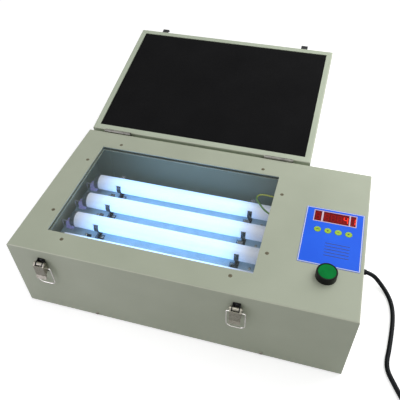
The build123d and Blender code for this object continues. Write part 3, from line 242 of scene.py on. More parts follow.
coil_start = Vector((COIL_CENTRE[0] + COIL_RADIUS * math.cos(COIL_ENTRY),
                     COIL_CENTRE[1] + COIL_RADIUS * math.sin(COIL_ENTRY), CORD_LEVEL))
heading = Vector((-math.sin(COIL_ENTRY), math.cos(COIL_ENTRY), 0))
lead_in = coil_start - heading * CORD_DIAMETER
route = [Vector(GLAND_PLACE)] + [Vector(point) for point in FLOOR_POINTS]
route += [lead_in - heading * LAST_RUN, lead_in]
print("points up to the coil:", len(route))

# %% [markdown]
# What the photograph doesn't show of the lead's length is wound up as it would be on a shelf. The
# cord winds inward on the table in half turns, climbs by one step, and winds outward again on top. A
# spline runs inside its points, so they stand a little outside each turn. At the middle of a span it
# takes three quarters of its own point and an eighth of each neighbour, which gives the ratio.

# %% Coil
COIL_STEP = 7.5              # a cord's width and half a millimetre of air
COIL_HALF_TURNS = 5          # in each of the two layers
ARC_POINTS = 6               # in each half turn
OUTSIDE = 1 / (0.75 + 0.25 * math.cos(math.pi / ARC_POINTS))
COIL_LEAD_OUT = 32.0

radii = [COIL_RADIUS - n * COIL_STEP / 2 for n in range(COIL_HALF_TURNS)]
turns = [(radius, 0) for radius in radii]
turns += [(radii[-1] - COIL_STEP / 2, COIL_STEP)]
turns += [(radius, 0) for radius in reversed(radii)]
here = coil_start
for radius, climb in turns:
    inward = Vector((-heading.y, heading.x, 0))
    middle = here + inward * radius
    for n in range(ARC_POINTS):
        angle = math.pi * (n + 0.5) / ARC_POINTS
        arm = heading * math.sin(angle) - inward * math.cos(angle)
        rise = Vector((0, 0, climb * (n + 0.5) / ARC_POINTS))
        route.append(middle + arm * radius * OUTSIDE + rise)
    here = here + inward * 2 * radius + Vector((0, 0, climb))
    heading = -heading
route += [here + heading * COIL_LEAD_OUT * 0.5, here + heading * COIL_LEAD_OUT]
print("half turns:", len(turns), "points in all:", len(route))

# %% [markdown]
# Blender can give a curve its thickness in two ways: by the bevel depth, or by each point's radius,
# which multiplies that depth. The box that Blender measures round a curve counts the radius alone,
# and at its usual value of 1 that box is a metre too big on every side. So here the depth is 1 and
# the radius is the cord's real one.

# %% Cord
def smooth_line(name, places, radius, rings):
    """A curve whose points pull a quadratic spline along, with so many rings in each span."""
    line = bpy.data.curves.new(name, "CURVE")
    line.dimensions = "3D"
    spline = line.splines.new("NURBS")
    spline.points.add(len(places) - 1)
    for point, place in zip(spline.points, places):
        point.co = (*at(*place), 1)
        point.radius = radius
    spline.order_u = 3
    spline.use_endpoint_u = True
    spline.resolution_u = rings
    return line


cord_line = smooth_line("mains_cord", route, CORD_DIAMETER / 2 * MM, 6)
cord_line.bevel_depth = 1.0
cord_line.bevel_resolution = 5
cord_line.use_fill_caps = True
cord = bpy.data.objects.new("mains_cord", cord_line)
bpy.context.scene.collection.objects.link(cord)
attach(cord, "housing")
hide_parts("power_cord", "cord_coil")
print("cord across:", CORD_DIAMETER, "mm")

# %% [markdown]
# ## Finishes
# Nearly every surface of the unit is a sheet or a moulding with two near colours in soft clouds and a
# fine grain: the orange peel of powder coat, the spangle of zinc, the pores of rubber. Each could have
# nodes of its own, but one recipe, given real sizes in millimetres, makes them all alike. What is the
# same all over is set on the shader itself, so that the export keeps it.

# %% Recipe for a finish
def finish(name, colours, cloud, grain, height, rough, **even):
    """A material: two colours in clouds, a grain with its height, and a range of roughness."""
    made = bpy.data.materials.new(name)
    made.use_nodes = True
    tree = made.node_tree
    tree.nodes.clear()
    place = node(tree, "ShaderNodeTexCoord").outputs["Object"]
    clouds = node(tree, "ShaderNodeTexNoise",
                  {"Vector": place, "Scale": 1 / (cloud * MM), "Detail": 3.0})
    grains = node(tree, "ShaderNodeTexNoise",
                  {"Vector": place, "Scale": 1 / (grain * MM), "Detail": 2.0})
    tint = node(tree, "ShaderNodeMapRange",
                {"Value": clouds.outputs[0], "From Min": 0.3, "From Max": 0.7})
    tone = node(tree, "ShaderNodeMix",
                {0: tint.outputs[0], 6: colour(colours[0]), 7: colour(colours[1])}, data_type="RGBA")
    gloss = node(tree, "ShaderNodeMapRange",
                 {"Value": grains.outputs[0], "To Min": rough[0], "To Max": rough[1]})
    bump = node(tree, "ShaderNodeBump", {"Height": grains.outputs[0], "Distance": height * MM})
    shader = node(tree, "ShaderNodeBsdfPrincipled",
                  {"Base Color": tone.outputs[2], "Roughness": gloss.outputs[0],
                   "Normal": bump.outputs[0]})
    for socket, value in even.items():
        shader.inputs[socket.replace("_", " ")].default_value = value
    node(tree, "ShaderNodeOutputMaterial", {"Surface": shader.outputs[0]})
    return made


def shader_of(material):
    """The shader of a finish, for a pattern that one material alone has."""
    return next(n for n in material.node_tree.nodes if n.bl_idname == "ShaderNodeBsdfPrincipled")


# %% [markdown]
# A node of the frame carries the name of its material slot, and many nodes share one. Dressing by
# slot reaches them all at once. The few that differ from the rest of their slot are dressed after it,
# by their own names.

# %% Dressing the frame
def dress(material, *slots):
    """Give a finish to every node of the frame that has one of these slots."""
    count = 0
    for piece in nodes.values():
        for place in piece.material_slots:
            if place.material and place.material.name.split(".")[0] in slots:
                place.material = material
                count += 1
    print(material.name, "on", count, "pieces")


def dress_alone(material, *names):
    """Give a finish to single nodes, where the others with their slot keep theirs."""
    for name in names:
        nodes[name].material_slots[0].material = material
    print(material.name, "on", ", ".join(names))


# %% [markdown]
# ## Painted steel
# The box is folded from 1.5 mm sheet and the lid from 1.2 mm, both powder coated in a warm
# grey-green. Powder melts into a skin with shallow dimples a millimetre or two apart: to the eye, a
# satin with a faint orange peel. A rounded fold catches the light as a paler line, and that line is
# painted into the colour as a highlight. It could be painted on by edge, but the surface's own
# direction already tells: on a flat wall one part of it squares to 1, and only a bend faces two ways
# at once.

# %% Powder coat
PEEL_PITCH = 1.6
FLAT, BENT = 0.9, 0.6        # the largest square of the direction, on a wall and well into a bend
# Painted highlight: a paler colour mixed into the paint along each fold, strongest well into a bend.
FOLD_HIGHLIGHT, MOST_HIGHLIGHT = "#D2D4C0", 0.75
# The lid's tones are a little paler than the box's, though both are one paint: painted light, for the
# brighter light on the lid.
for slot, tones in (("housing_paint", ("#B4BBA6", "#ACB39E")), ("lid_paint", ("#BEC8B2", "#B6C0AA"))):
    coat = finish("powder_coated_steel_" + slot.split("_")[0], tones, 90, PEEL_PITCH, 0.03,
                  (0.42, 0.56), IOR=1.5)
    tree, shader = coat.node_tree, shader_of(coat)
    facing = node(tree, "ShaderNodeSeparateXYZ",
                  {0: node(tree, "ShaderNodeTexCoord").outputs["Normal"]})
    squares = [node(tree, "ShaderNodeMath", {0: part, 1: 2.0}, operation="POWER").outputs[0]
               for part in facing.outputs]
    most = squares[0]
    for square in squares[1:]:
        most = node(tree, "ShaderNodeMath", {0: most, 1: square}, operation="MAXIMUM").outputs[0]
    bend = node(tree, "ShaderNodeMapRange",
                {"Value": most, "From Min": FLAT, "From Max": BENT, "To Max": MOST_HIGHLIGHT})
    highlighted = node(tree, "ShaderNodeMix",
                {0: bend.outputs[0], 6: shader.inputs["Base Color"].links[0].from_socket,
                 7: colour(FOLD_HIGHLIGHT)}, data_type="RGBA")
    tree.links.new(highlighted.outputs[2], shader.inputs["Base Color"])
    dress(coat, slot)

# %% [markdown]
# ## Bare metals
# A bare metal's colour is its reflection, so its grey goes in the base colour with metallic at 1.
# That would make the galvanised sheets inside black, because under the glass they have little to
# mirror. Their zinc has in fact weathered to a chalky grey, which scatters light as paint does, so
# they are only a part metallic. The blackened steel is oxide over metal, and lies between. On the
# latch bases its near-black is partly painted shade, for the deep shade above each pivot.

# %% Sheets and screws
# Spangle on the partition: cool, dull crystals of about a centimetre.
dress(finish("galvanised_steel", ("#A3B0B6", "#929FA6"), 12, 2.5, 0.02, (0.38, 0.6), Metallic=0.3),
      "inner_steel")
# The same sheet behind the lamps, flatter, so that it spreads their blue without glints. Its
# paler, bluer tone is painted light, for the lamps' blue light on it.
dress(finish("galvanised_reflector", ("#A9BCC2", "#9CAFB5"), 14, 2.0, 0.02, (0.45, 0.6),
             Metallic=0.1), "tray_steel")
# Bright zinc on screws and rivets: a warm grey with small sharp glints.
zinc = finish("zinc_plated_steel", ("#A8A599", "#8A877B"), 2.0, 0.8, 0.02, (0.28, 0.45), Metallic=1.0)
dress(zinc, "zinc")
# Oxide black on the latch bases, their rivets and the keepers: a low, even sheen. On the bases
# and rivets the near-black is also painted shade, for the deep shade in the hollow above each pivot.
black_steel_and_shade = finish("blackened_steel", ("#2B2C2E", "#1C1D1F"), 5, 1.0, 0.015, (0.35, 0.5),
                     Metallic=0.6)
dress(black_steel_and_shade, "black_metal")
dress_alone(black_steel_and_shade, "latch_rivets")

# %% Springs, hinges, latches and lamp pins
# Oiled spring steel: dark and slick, so that it is hard black and white at its edges.
dress(finish("oiled_spring_steel", ("#6E747B", "#4A4F55"), 6, 1.0, 0.01, (0.12, 0.26), Metallic=1.0),
      "spring_steel")
# Satin nickel: a warm grey in which light smears.
dress(finish("nickel_plated_steel", ("#8A8983", "#6C6B66"), 9, 1.2, 0.01, (0.2, 0.34), Metallic=1.0),
      "hinge_metal")
# The bails are polished wire, near white where they catch a light.
bright_nickel = finish("polished_nickel_wire", ("#F2F0EC", "#DCD9D3"), 4, 1.0, 0.005, (0.08, 0.18),
                       Metallic=1.0)
dress_alone(bright_nickel, "latch_left_bail", "latch_right_bail")
# Drawn brass, rubbed dull where the holder grips it.
dress(finish("brass_lamp_pin", ("#C9B077", "#A98F58"), 3, 0.8, 0.01, (0.25, 0.4), Metallic=1.0),
      "lamp_pins")
# Aluminium caps: drawn, a little clouded, fully grey.
dress(finish("aluminium_lamp_cap", ("#9A9FA6", "#858A92"), 6, 1.0, 0.01, (0.3, 0.45), Metallic=0.9),
      "lamp_caps")

# %% [markdown]
# ## Rubber
# Rubber drinks light: its base is nearly black and what the eye gets is a wide, weak sheen over fine
# pores. The cord's skin is smoother than the feet, and its gleam is one thin line along the top. Its
# specular level is low, because a full one turned it as grey as the floor that it mirrors.

# %% Rubber and silicone
dress(finish("black_rubber", ("#1B1C1D", "#111213"), 8, 0.7, 0.03, (0.5, 0.7)), "rubber")
cord_rubber = finish("black_cord_rubber", ("#0F1318", "#080A0E"), 12, 0.8, 0.02, (0.26, 0.42),
                     Specular_IOR_Level=0.12)
dress(cord_rubber, "cord_rubber")
cord_line.materials.append(cord_rubber)
dress_alone(finish("grey_silicone_gasket", ("#69736F", "#5C6662"), 30, 1.0, 0.02, (0.5, 0.65)),
            "glass_gasket")
dress_alone(finish("grey_painted_retainer", ("#9AA08C", "#8B917E"), 30, 1.2, 0.02, (0.5, 0.65)),
            "glass_retainer")

# %% [markdown]
# ## Plastics
# The mouldings are ABS or nylon: smooth, a little glossy, and slightly cloudy where the melt flowed.
# Each could be one flat colour at this size, but up close the clouds are what tell a moulding from
# paint. The white lampholders stand in the light of the lamps and are milky, so the light soaks into
# them and comes out violet. A faint glow of their own stands for that.

# %% Parts round the lamps
dress(finish("white_nylon_holder", ("#C4C4D6", "#AEAEC6"), 10, 1.5, 0.02, (0.4, 0.55), IOR=1.5,
             Emission_Color=colour("#8E86E0"), Emission_Strength=0.22), "holder_plastic")
dress(finish("white_wire_insulation", ("#E4E4EA", "#CFCFD8"), 15, 1.0, 0.01, (0.35, 0.5)),
      "lead_insulation")
dress(finish("painted_ballast_case", ("#D9D9D2", "#C8C8C0"), 20, 2.0, 0.02, (0.4, 0.55)),
      "ballast_case")

# %% Parts of the panel
dress(finish("fibreglass_board", ("#1F5A3A", "#184A30"), 4, 1.2, 0.03, (0.35, 0.5)), "board")
dress(finish("red_display_body", ("#7E1A16", "#641210"), 6, 1.0, 0.01, (0.3, 0.4)), "display_red")
dress(finish("grey_nylon_switch", ("#3A3C40", "#2C2E31"), 4, 0.8, 0.02, (0.4, 0.55)),
      "switch_plastic")
dress(finish("black_abs", ("#151616", "#0E0F0F"), 9, 0.9, 0.02, (0.3, 0.42), IOR=1.53,
             Specular_IOR_Level=0.12), "button_black")
dress(finish("green_abs", ("#018A3C", "#017835"), 11, 1.2, 0.015, (0.45, 0.58), IOR=1.53,
             Specular_IOR_Level=0.06), "button_green")
dress(finish("yellow_green_key", ("#A8D018", "#9CC412"), 5, 0.9, 0.02, (0.34, 0.48), IOR=1.5),
      "key_yellow")
# The label is a dyed film: a deep, even blue under a fine satin face.
dress(finish("printed_blue_polycarbonate", ("#236CFE", "#1F64F6"), 45, 0.6, 0.01, (0.5, 0.62),
             IOR=1.58, Specular_IOR_Level=0.18), "label_blue")
dress(finish("red_acrylic_filter", ("#8A0A0A", "#640607"), 9, 2.0, 0.005, (0.3, 0.4), IOR=1.49,
             Specular_IOR_Level=0.08), "filter_red")

# %% [markdown]
# ## Glass
# The window is clear float glass, so nearly all that the eye gets is what lies under it, with a
# faint grey-green veil. It could bend light with transmission, but light from outside would then
# reach the parts below only by chance, and leave them dark and speckled. Alpha lets it through.

# %% Glass
glass = finish("clear_float_glass", ("#93A3A6", "#8D9DA0"), 60, 8, 0.0005, (0.02, 0.04), IOR=1.52,
               Alpha=0.07)
dress(glass, "glass")

# %% [markdown]
# ## Lamps
# Each lamp is a glass tube coated inside with a white phosphor. It glows blue-white between its
# electrodes, and stays duller for a few centimetres at both ends. Four lights inside the tubes would
# do it too, but the export drops lights and keeps a glow. So the tube's own emission follows the
# distance from the middle. Its colours are linear and pass 1 in the blue, as only a source does.

# %% Lamp phosphor
LAMP_MIDDLE = LEFT + 190.0 * MM
LIT_TO, DULL_FROM = 95.0, 152.0
END_GLOW, FULL_GLOW = (0.14, 0.16, 0.2, 1), (0.41, 0.8, 1.5, 1)
lamp_glass = finish("phosphor_coated_glass", ("#F4F4FA", "#ECECF4"), 40, 3, 0.0005, (0.06, 0.1),
                    Emission_Strength=1.0)
tree = lamp_glass.node_tree
place = node(tree, "ShaderNodeSeparateXYZ", {0: node(tree, "ShaderNodeTexCoord").outputs["Object"]})
away = node(tree, "ShaderNodeMath", {0: place.outputs[0], 1: LAMP_MIDDLE}, operation="SUBTRACT")
away = node(tree, "ShaderNodeMath", {0: away.outputs[0]}, operation="ABSOLUTE")
lit = node(tree, "ShaderNodeMapRange",
           {"Value": away.outputs[0], "From Min": DULL_FROM * MM, "From Max": LIT_TO * MM},
           interpolation_type="SMOOTHSTEP")
glow = node(tree, "ShaderNodeMix", {0: lit.outputs[0], 6: END_GLOW, 7: FULL_GLOW}, data_type="RGBA")
tree.links.new(glow.outputs[2], shader_of(lamp_glass).inputs["Emission Color"])
dress(lamp_glass, "lamp_glass")

# %% [markdown]
# ## Foam pad
# The pad is a slab of closed-cell sponge, cut to fit inside the lid's rim and glued to its plate. A
# cut slab is flat where it is glued, bulges a little on its face, and its cut sides draw in. Cloth
# simulation suits a filled cushion, but a sponge slab keeps its cut shape, so its face is shaped by a
# rule: it sinks by the square of how near a point is to the edge. The pad is drawn with the lid shut.

# %% Foam face
FOAM_LOW, FOAM_HIGH = (14.8, 13.8), (388.2, 269.2)
FOAM_FACE = 140.0            # height of the face with the lid shut
FOAM_COLUMNS, FOAM_ROWS = 66, 46
FOAM_BULGE, FOAM_BULGE_REACH = 0.5, 30.0
EDGE_PROFILE = ((0.9, 0.4), (0.3, 0.7), (0.02, 1.4), (0.2, 5.0), (0.45, 8.5), (0.25, 12.5),
                (0.0, 16.5))     # how far in, and how deep behind the face


def foam_point(column, row, inset, depth):
    """A point of the slab with the lid shut; depth runs from the face toward the lid's plate."""
    x = FOAM_LOW[0] + inset + (FOAM_HIGH[0] - FOAM_LOW[0] - 2 * inset) * column / FOAM_COLUMNS
    y = FOAM_LOW[1] + inset + (FOAM_HIGH[1] - FOAM_LOW[1] - 2 * inset) * row / FOAM_ROWS
    return at(x, y, FOAM_FACE + depth)


foam_bm = bmesh.new()
face_inset = EDGE_PROFILE[0][0]
cut_low, cut_high = at(*FOAM_LOW, 0), at(*FOAM_HIGH, 0)
face = {}
for column in range(FOAM_COLUMNS + 1):
    for row in range(FOAM_ROWS + 1):
        flat = foam_point(column, row, face_inset, 0)
        edge = min(flat.x - cut_low.x, cut_high.x - flat.x,
                   flat.y - cut_low.y, cut_high.y - flat.y) / MM - face_inset
        sink = FOAM_BULGE * max(0, 1 - edge / FOAM_BULGE_REACH) ** 2
        face[column, row] = foam_bm.verts.new(foam_point(column, row, face_inset, sink))
for column in range(FOAM_COLUMNS):
    for row in range(FOAM_ROWS):
        foam_bm.faces.new([face[column, row], face[column + 1, row], face[column + 1, row + 1],
                           face[column, row + 1]])
print("face cells:", FOAM_COLUMNS * FOAM_ROWS)

# %% Foam sides and back
rim = ([(n, 0) for n in range(FOAM_COLUMNS)] + [(FOAM_COLUMNS, n) for n in range(FOAM_ROWS)]
       + [(n, FOAM_ROWS) for n in range(FOAM_COLUMNS, 0, -1)]
       + [(0, n) for n in range(FOAM_ROWS, 0, -1)])
ring = [face[place] for place in rim]
for inset, depth in EDGE_PROFILE[1:]:
    lower = [foam_bm.verts.new(foam_point(*place, inset, depth)) for place in rim]
    for n in range(len(rim)):
        m = (n + 1) % len(rim)
        foam_bm.faces.new([ring[n], lower[n], lower[m], ring[m]])
    ring = lower
foam_bm.faces.new(ring)
bmesh.ops.recalc_face_normals(foam_bm, faces=foam_bm.faces)
print("points round the rim:", len(rim))

# %% [markdown]
# The frame stands with its lid open, and a piece's place has to be in its mesh. So the finished slab
# is swung about the hinge line by the lid's whole opening. The same swing sets the hinge's screws.

# %% Foam swung open with the lid
LID_OPENING = math.radians(168.2)
hinge = next(joint for joint in frame["joints"] if joint["name"] == "lid_hinge")
hinge_place, hinge_axis = Vector(hinge["pos_m"]), Vector(hinge["axis"])
swing = (Matrix.Translation(hinge_place) @ Matrix.Rotation(LID_OPENING, 4, hinge_axis)
         @ Matrix.Translation(-hinge_place))
foam_bm.transform(swing)
foam_mesh = bpy.data.meshes.new("foam_pad")
foam_bm.to_mesh(foam_mesh)
foam_bm.free()
foam_mesh.shade_smooth()
foam = bpy.data.objects.new("foam_pad", foam_mesh)
bpy.context.scene.collection.objects.link(foam)
print("foam faces:", len(foam_mesh.polygons))

# %% [markdown]
# Sponge is the dullest thing on the unit: light falls into its cells and stays there. Its roughness
# is close to 1 and its specular level close to 0. The cells are Voronoi bumps. Real ones are about
# 0.5 mm, and they are drawn coarser so that they show.

# %% Foam finish
CELL, CELL_DEPTH = 1.3, 0.35
sponge = finish("black_closed_cell_sponge", ("#161617", "#111112"), 70, 4.0, 0.05, (0.88, 0.97),
                Specular_IOR_Level=0.08)
tree, shader = sponge.node_tree, shader_of(sponge)
cells = node(tree, "ShaderNodeTexVoronoi",
             {"Vector": node(tree, "ShaderNodeTexCoord").outputs["Object"], "Scale": 1 / (CELL * MM)})
pores = node(tree, "ShaderNodeBump",
             {"Height": cells.outputs["Distance"], "Distance": CELL_DEPTH * MM,
              "Normal": shader.inputs["Normal"].links[0].from_socket})
tree.links.new(pores.outputs[0], shader.inputs["Normal"])
foam_mesh.materials.append(sponge)
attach(foam, "lid")
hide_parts("lid_foam")
print("foam cells drawn at", CELL, "mm")

# %% [markdown]
# ## Screws
# Every screw has a cross recess, which the frame's plain heads leave out. A bump would draw the
# cross, but the mesh would stay plain. So one screw of each kind is turned: its half outline, in
# millimetres from the seat, is spun about its axis.

# %% Turned body of a screw
SCREW_SIDES = 20
SHANK, TIP, TIP_LENGTH = 1.5, 1.1, 0.5
PAN_HEAD = ((0, 2.0), (1.7, 1.95), (2.35, 1.6), (2.7, 1.0), (2.7, 0.0), (SHANK, 0.0))
FLUSH_HEAD = ((0, 0.0), (2.8, 0.0), (3.0, -0.08), (SHANK, -1.5))


def turned_body(name, head, length):
    """A screw without its recess, spun from its half outline."""
    bm = bmesh.new()
    profile = list(head) + [(SHANK, -length + TIP_LENGTH), (TIP, -length), (0, -length)]
    chain = [bm.verts.new((radius, 0, height)) for radius, height in profile]
    edges = [bm.edges.new(pair) for pair in zip(chain, chain[1:])]
    bmesh.ops.spin(bm, geom=chain + edges, axis=(0, 0, 1), cent=(0, 0, 0), angle=2 * math.pi,
                   steps=SCREW_SIDES, use_merge=True)
    bmesh.ops.remove_doubles(bm, verts=bm.verts, dist=0.001)
    bmesh.ops.recalc_face_normals(bm, faces=bm.faces)
    mesh = bpy.data.meshes.new(name)
    bm.to_mesh(mesh)
    bm.free()
    return bpy.data.objects.new(name, mesh)


# %% [markdown]
# A driver's tip is a tapered cross. The cutter has the same form, from narrow at the bottom of the
# recess to wide above the crown, and a Boolean takes it out of the head once for each kind.

# %% Cross recess
RECESS_REACH, RECESS_WIDTH, RECESS_DEPTH = 1.55, 0.62, 1.1
CUT_ABOVE = 0.5
NARROW, WIDE = 0.45, 1.1
SHARP_FROM = math.radians(28)


def cross_cutter(name, crown):
    """The tapered cross that is cut into a head whose top is at crown."""
    cross = bmesh.new()
    arm, tip = RECESS_WIDTH / 2, RECESS_REACH
    outline = [(tip, -arm), (tip, arm), (arm, arm)]
    for _ in range(3):
        outline += [(-y, x) for x, y in outline[-3:]]
    rows = [[cross.verts.new((x * size, y * size, height)) for x, y in outline]
            for height, size in ((crown - RECESS_DEPTH, NARROW), (crown + CUT_ABOVE, WIDE))]
    cross.faces.new(rows[0])
    cross.faces.new(rows[1])
    for n in range(len(outline)):
        m = (n + 1) % len(outline)
        cross.faces.new([rows[0][n], rows[0][m], rows[1][m], rows[1][n]])
    bmesh.ops.recalc_face_normals(cross, faces=cross.faces)
    mesh = bpy.data.meshes.new(name)
    cross.to_mesh(mesh)
    cross.free()
    return bpy.data.objects.new(name, mesh)


def turned_screw(name, head, length):
    """A screw with its seat at the origin, in millimetres."""
    whole = turned_body(name, head, length)
    cutter = cross_cutter(name + "_cross", head[0][1])
    for piece in (whole, cutter):
        bpy.context.scene.collection.objects.link(piece)
    cut = whole.modifiers.new("cut", "BOOLEAN")
    cut.object = cutter
    cut.solver = "EXACT"
    made = bpy.data.meshes.new_from_object(
        whole.evaluated_get(bpy.context.evaluated_depsgraph_get()))
    whole.modifiers.clear()
    bpy.data.objects.remove(cutter)
    made.shade_smooth()
    made.set_sharp_from_angle(angle=SHARP_FROM)
    whole.data = made
    print(name, "faces:", len(made.polygons))
    return whole


# %% [markdown]
# Thirty-two screws could be copied and turned one by one. Geometry Nodes sets them instead: each seat
# is a point that carries the direction its screw faces, and the tree puts a screw there, aligned to
# that direction. Nobody stops all screws with their crosses in line, so each is turned about its
# own axis by a seeded random angle.

# %% Tree that sets screws on points
def open_tree(name, output, **inputs):
    """A node tree with named inputs and one output, and the node that hands the inputs out."""
    tree = bpy.data.node_groups.new(name, "GeometryNodeTree")
    for label, kind in inputs.items():
        tree.interface.new_socket(label, in_out="INPUT", socket_type="NodeSocket" + kind)
    tree.interface.new_socket(output, in_out="OUTPUT", socket_type="NodeSocketGeometry")
    return tree, node(tree, "NodeGroupInput")


def close_tree(tree, grown, coat):
    """End a tree in real faces with their finish, because the export drops instances."""
    real = node(tree, "GeometryNodeRealizeInstances", {0: grown})
    coated = node(tree, "GeometryNodeSetMaterial", {"Geometry": real.outputs[0], "Material": coat})
    node(tree, "NodeGroupOutput", {0: coated.outputs[0]})


screw_tree, given = open_tree("screws_on_points", "Screws", Seats="Geometry", Screw="Object",
                              Size="Float", Seed="Int", Finish="Material")
pattern = node(screw_tree, "GeometryNodeObjectInfo", {"Object": given.outputs["Screw"]})
outward = node(screw_tree, "GeometryNodeInputNamedAttribute", {"Name": "outward"},
               data_type="FLOAT_VECTOR")
upright = node(screw_tree, "FunctionNodeAlignRotationToVector", {"Vector": outward.outputs[0]},
               axis="Z")
chance = node(screw_tree, "FunctionNodeRandomValue", {"Seed": given.outputs["Seed"], 3: math.pi},
              data_type="FLOAT")
lean = node(screw_tree, "ShaderNodeCombineXYZ", {"Z": chance.outputs[1]})
spun = node(screw_tree, "FunctionNodeEulerToRotation", {0: lean.outputs[0]})
turned = node(screw_tree, "FunctionNodeRotateRotation", {0: upright.outputs[0], 1: spun.outputs[0]},
              rotation_space="LOCAL")
placed = node(screw_tree, "GeometryNodeInstanceOnPoints",
              {"Points": given.outputs["Seats"], "Instance": pattern.outputs["Geometry"],
               "Rotation": turned.outputs[0], "Scale": given.outputs["Size"]})
close_tree(screw_tree, placed.outputs[0], given.outputs["Finish"])
print("nodes that set a screw:", len(screw_tree.nodes))

# %% [markdown]
# A tree's result lives only as long as its modifier. The frame wants plain meshes, so the result is
# taken off as a mesh of its own and the modifier goes.

# %% Growing a tree into a mesh
def grow(piece, tree, **values):
    """Run a node tree on a piece and keep its result as a plain mesh."""
    modifier = piece.modifiers.new("grow", "NODES")
    modifier.node_group = tree
    for item in tree.interface.items_tree:
        if item.in_out == "INPUT" and item.name in values:
            modifier[item.identifier] = values[item.name]
    result = bpy.data.meshes.new_from_object(
        piece.evaluated_get(bpy.context.evaluated_depsgraph_get()))
    piece.modifiers.clear()
    made = bpy.data.objects.new(piece.name + "_made", result)
    name = piece.name
    bpy.data.objects.remove(piece)
    made.name = name
    bpy.context.scene.collection.objects.link(made)
    return made


def screws(name, screw, seats, body, turn, coat):
    """Set a screw on each (place, direction) and let it stand for the frame's node of that name."""
    mesh = bpy.data.meshes.new(name)
    mesh.from_pydata([turn @ place for place, _ in seats], [], [])
    facing = mesh.attributes.new("outward", "FLOAT_VECTOR", "POINT")
    for item, (_, direction) in zip(facing.data, seats):
        item.vector = turn.to_3x3() @ Vector(direction)
    piece = bpy.data.objects.new("driven_" + name, mesh)
    bpy.context.scene.collection.objects.link(piece)
    made = grow(piece, screw_tree, Screw=screw, Size=MM, Seed=len(seats) + len(name), Finish=coat)
    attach(made, body)
    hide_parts(name)
    print(made.name, "faces:", len(made.data.polygons))


# %% [markdown]
# Eight flush screws round the window hold the glass below it. Each lamp has a clip near both ends,
# and a pan head holds its foot to the tray. Eight more hold the bottom plate through the walls, and
# each hinge leaf has two. Their seats could be read off the frame's meshes, but they follow from a
# few distances, as on the drawing: a middle, a reach to both sides and a pitch.

# %% Seats round the window and under the lamps
UP, FORWARD, BACKWARD = (0, 0, 1), (0, -1, 0), (0, 1, 0)
BOTH = (-1, 1)
TOP_PLATE = 138.7
MIDDLE_X, MIDDLE_Y = 200.1, 140.25      # of the window
WINDOW_REACHES = ((166.6, 60.7), (126.2, 111.5))    # left and right of it, then front and back
LAMPS, LAMP_PITCH = 4, 47.0
CLIP_REACH, CLIP_SCREW_BACK, CLIP_FOOT = 110.5, 12.5, 62.8
window_seats = [(at(MIDDLE_X + side * reach_x, MIDDLE_Y + end * reach_y, TOP_PLATE), UP)
                for reach_x, reach_y in WINDOW_REACHES for side in BOTH for end in BOTH]
clip_seats = [(at(MIDDLE_X + side * CLIP_REACH,
                  MIDDLE_Y + (n - (LAMPS - 1) / 2) * LAMP_PITCH - CLIP_SCREW_BACK, CLIP_FOOT), UP)
              for side in BOTH for n in range(LAMPS)]
print("window seats:", len(window_seats), "clip seats:", len(clip_seats))

# %% Seats in the walls and on the hinges
BOX_WIDTH, BOX_DEPTH = 500, 280.5
BOTTOM_LEVEL, BOTTOM_XS, BOTTOM_REACH_Y = 4.5, (118.3, 381.9), 70
HINGE_XS, LEAF_REACH, LEAF_FACE = (54.0, 346.5), 17.0, 282.0
BOX_LEAF_LEVEL, LID_LEAF_LEVEL = 130.5, 147.9
bottom_seats = [(at(x, y, BOTTOM_LEVEL), direction) for x in BOTTOM_XS
                for y, direction in ((0, FORWARD), (BOX_DEPTH, BACKWARD))]
bottom_seats += [(at(x, MIDDLE_Y + end * BOTTOM_REACH_Y, BOTTOM_LEVEL), (side, 0, 0))
                 for x, side in ((0, -1), (BOX_WIDTH, 1)) for end in BOTH]
leaf_xs = [middle + side * LEAF_REACH for middle in HINGE_XS for side in BOTH]
box_leaf_seats = [(at(x, LEAF_FACE, BOX_LEAF_LEVEL), BACKWARD) for x in leaf_xs]
lid_leaf_seats = [(at(x, LEAF_FACE, LID_LEAF_LEVEL), BACKWARD) for x in leaf_xs]
print("bottom seats:", len(bottom_seats), "leaf seats:", 2 * len(leaf_xs))

# %% Screws in their seats
# Olive chromate on the window's screws: a dull brownish green film, half metal to the eye.
olive = finish("olive_chromate_screw", ("#7A7560", "#615D4A"), 2.0, 0.8, 0.02, (0.45, 0.6),
               Metallic=0.5)
AS_DRAWN = Matrix.Identity(4)
SCREW_SETS = (
    ("window_screws", FLUSH_HEAD, 7.5, window_seats, "housing", AS_DRAWN, olive),
    ("clip_screws", PAN_HEAD, 5.0, clip_seats, "housing", AS_DRAWN, zinc),
    ("bottom_screws", PAN_HEAD, 5.7, bottom_seats, "housing", AS_DRAWN, zinc),
    ("hinge_box_screws", PAN_HEAD, 6.0, box_leaf_seats, "housing", AS_DRAWN, zinc),
    ("hinge_lid_screws", PAN_HEAD, 5.7, lid_leaf_seats, "lid", swing, zinc),
)
for name, head, length, seats, body, turn, coat in SCREW_SETS:
    one = turned_screw("one_of_" + name, head, length)
    screws(name, one, seats, body, turn, coat)
    bpy.data.objects.remove(one)

# %% [markdown]
# ## Earth wire
# The wire that earths the case is the one loose lead under the glass. Its insulation is green with a
# yellow stripe that winds slowly round it. A stripe on Object coordinates would lie across the bends.
# So a tube is grown along the wire's spline in Geometry Nodes, and each point of it carries how far
# round and how far along it is.

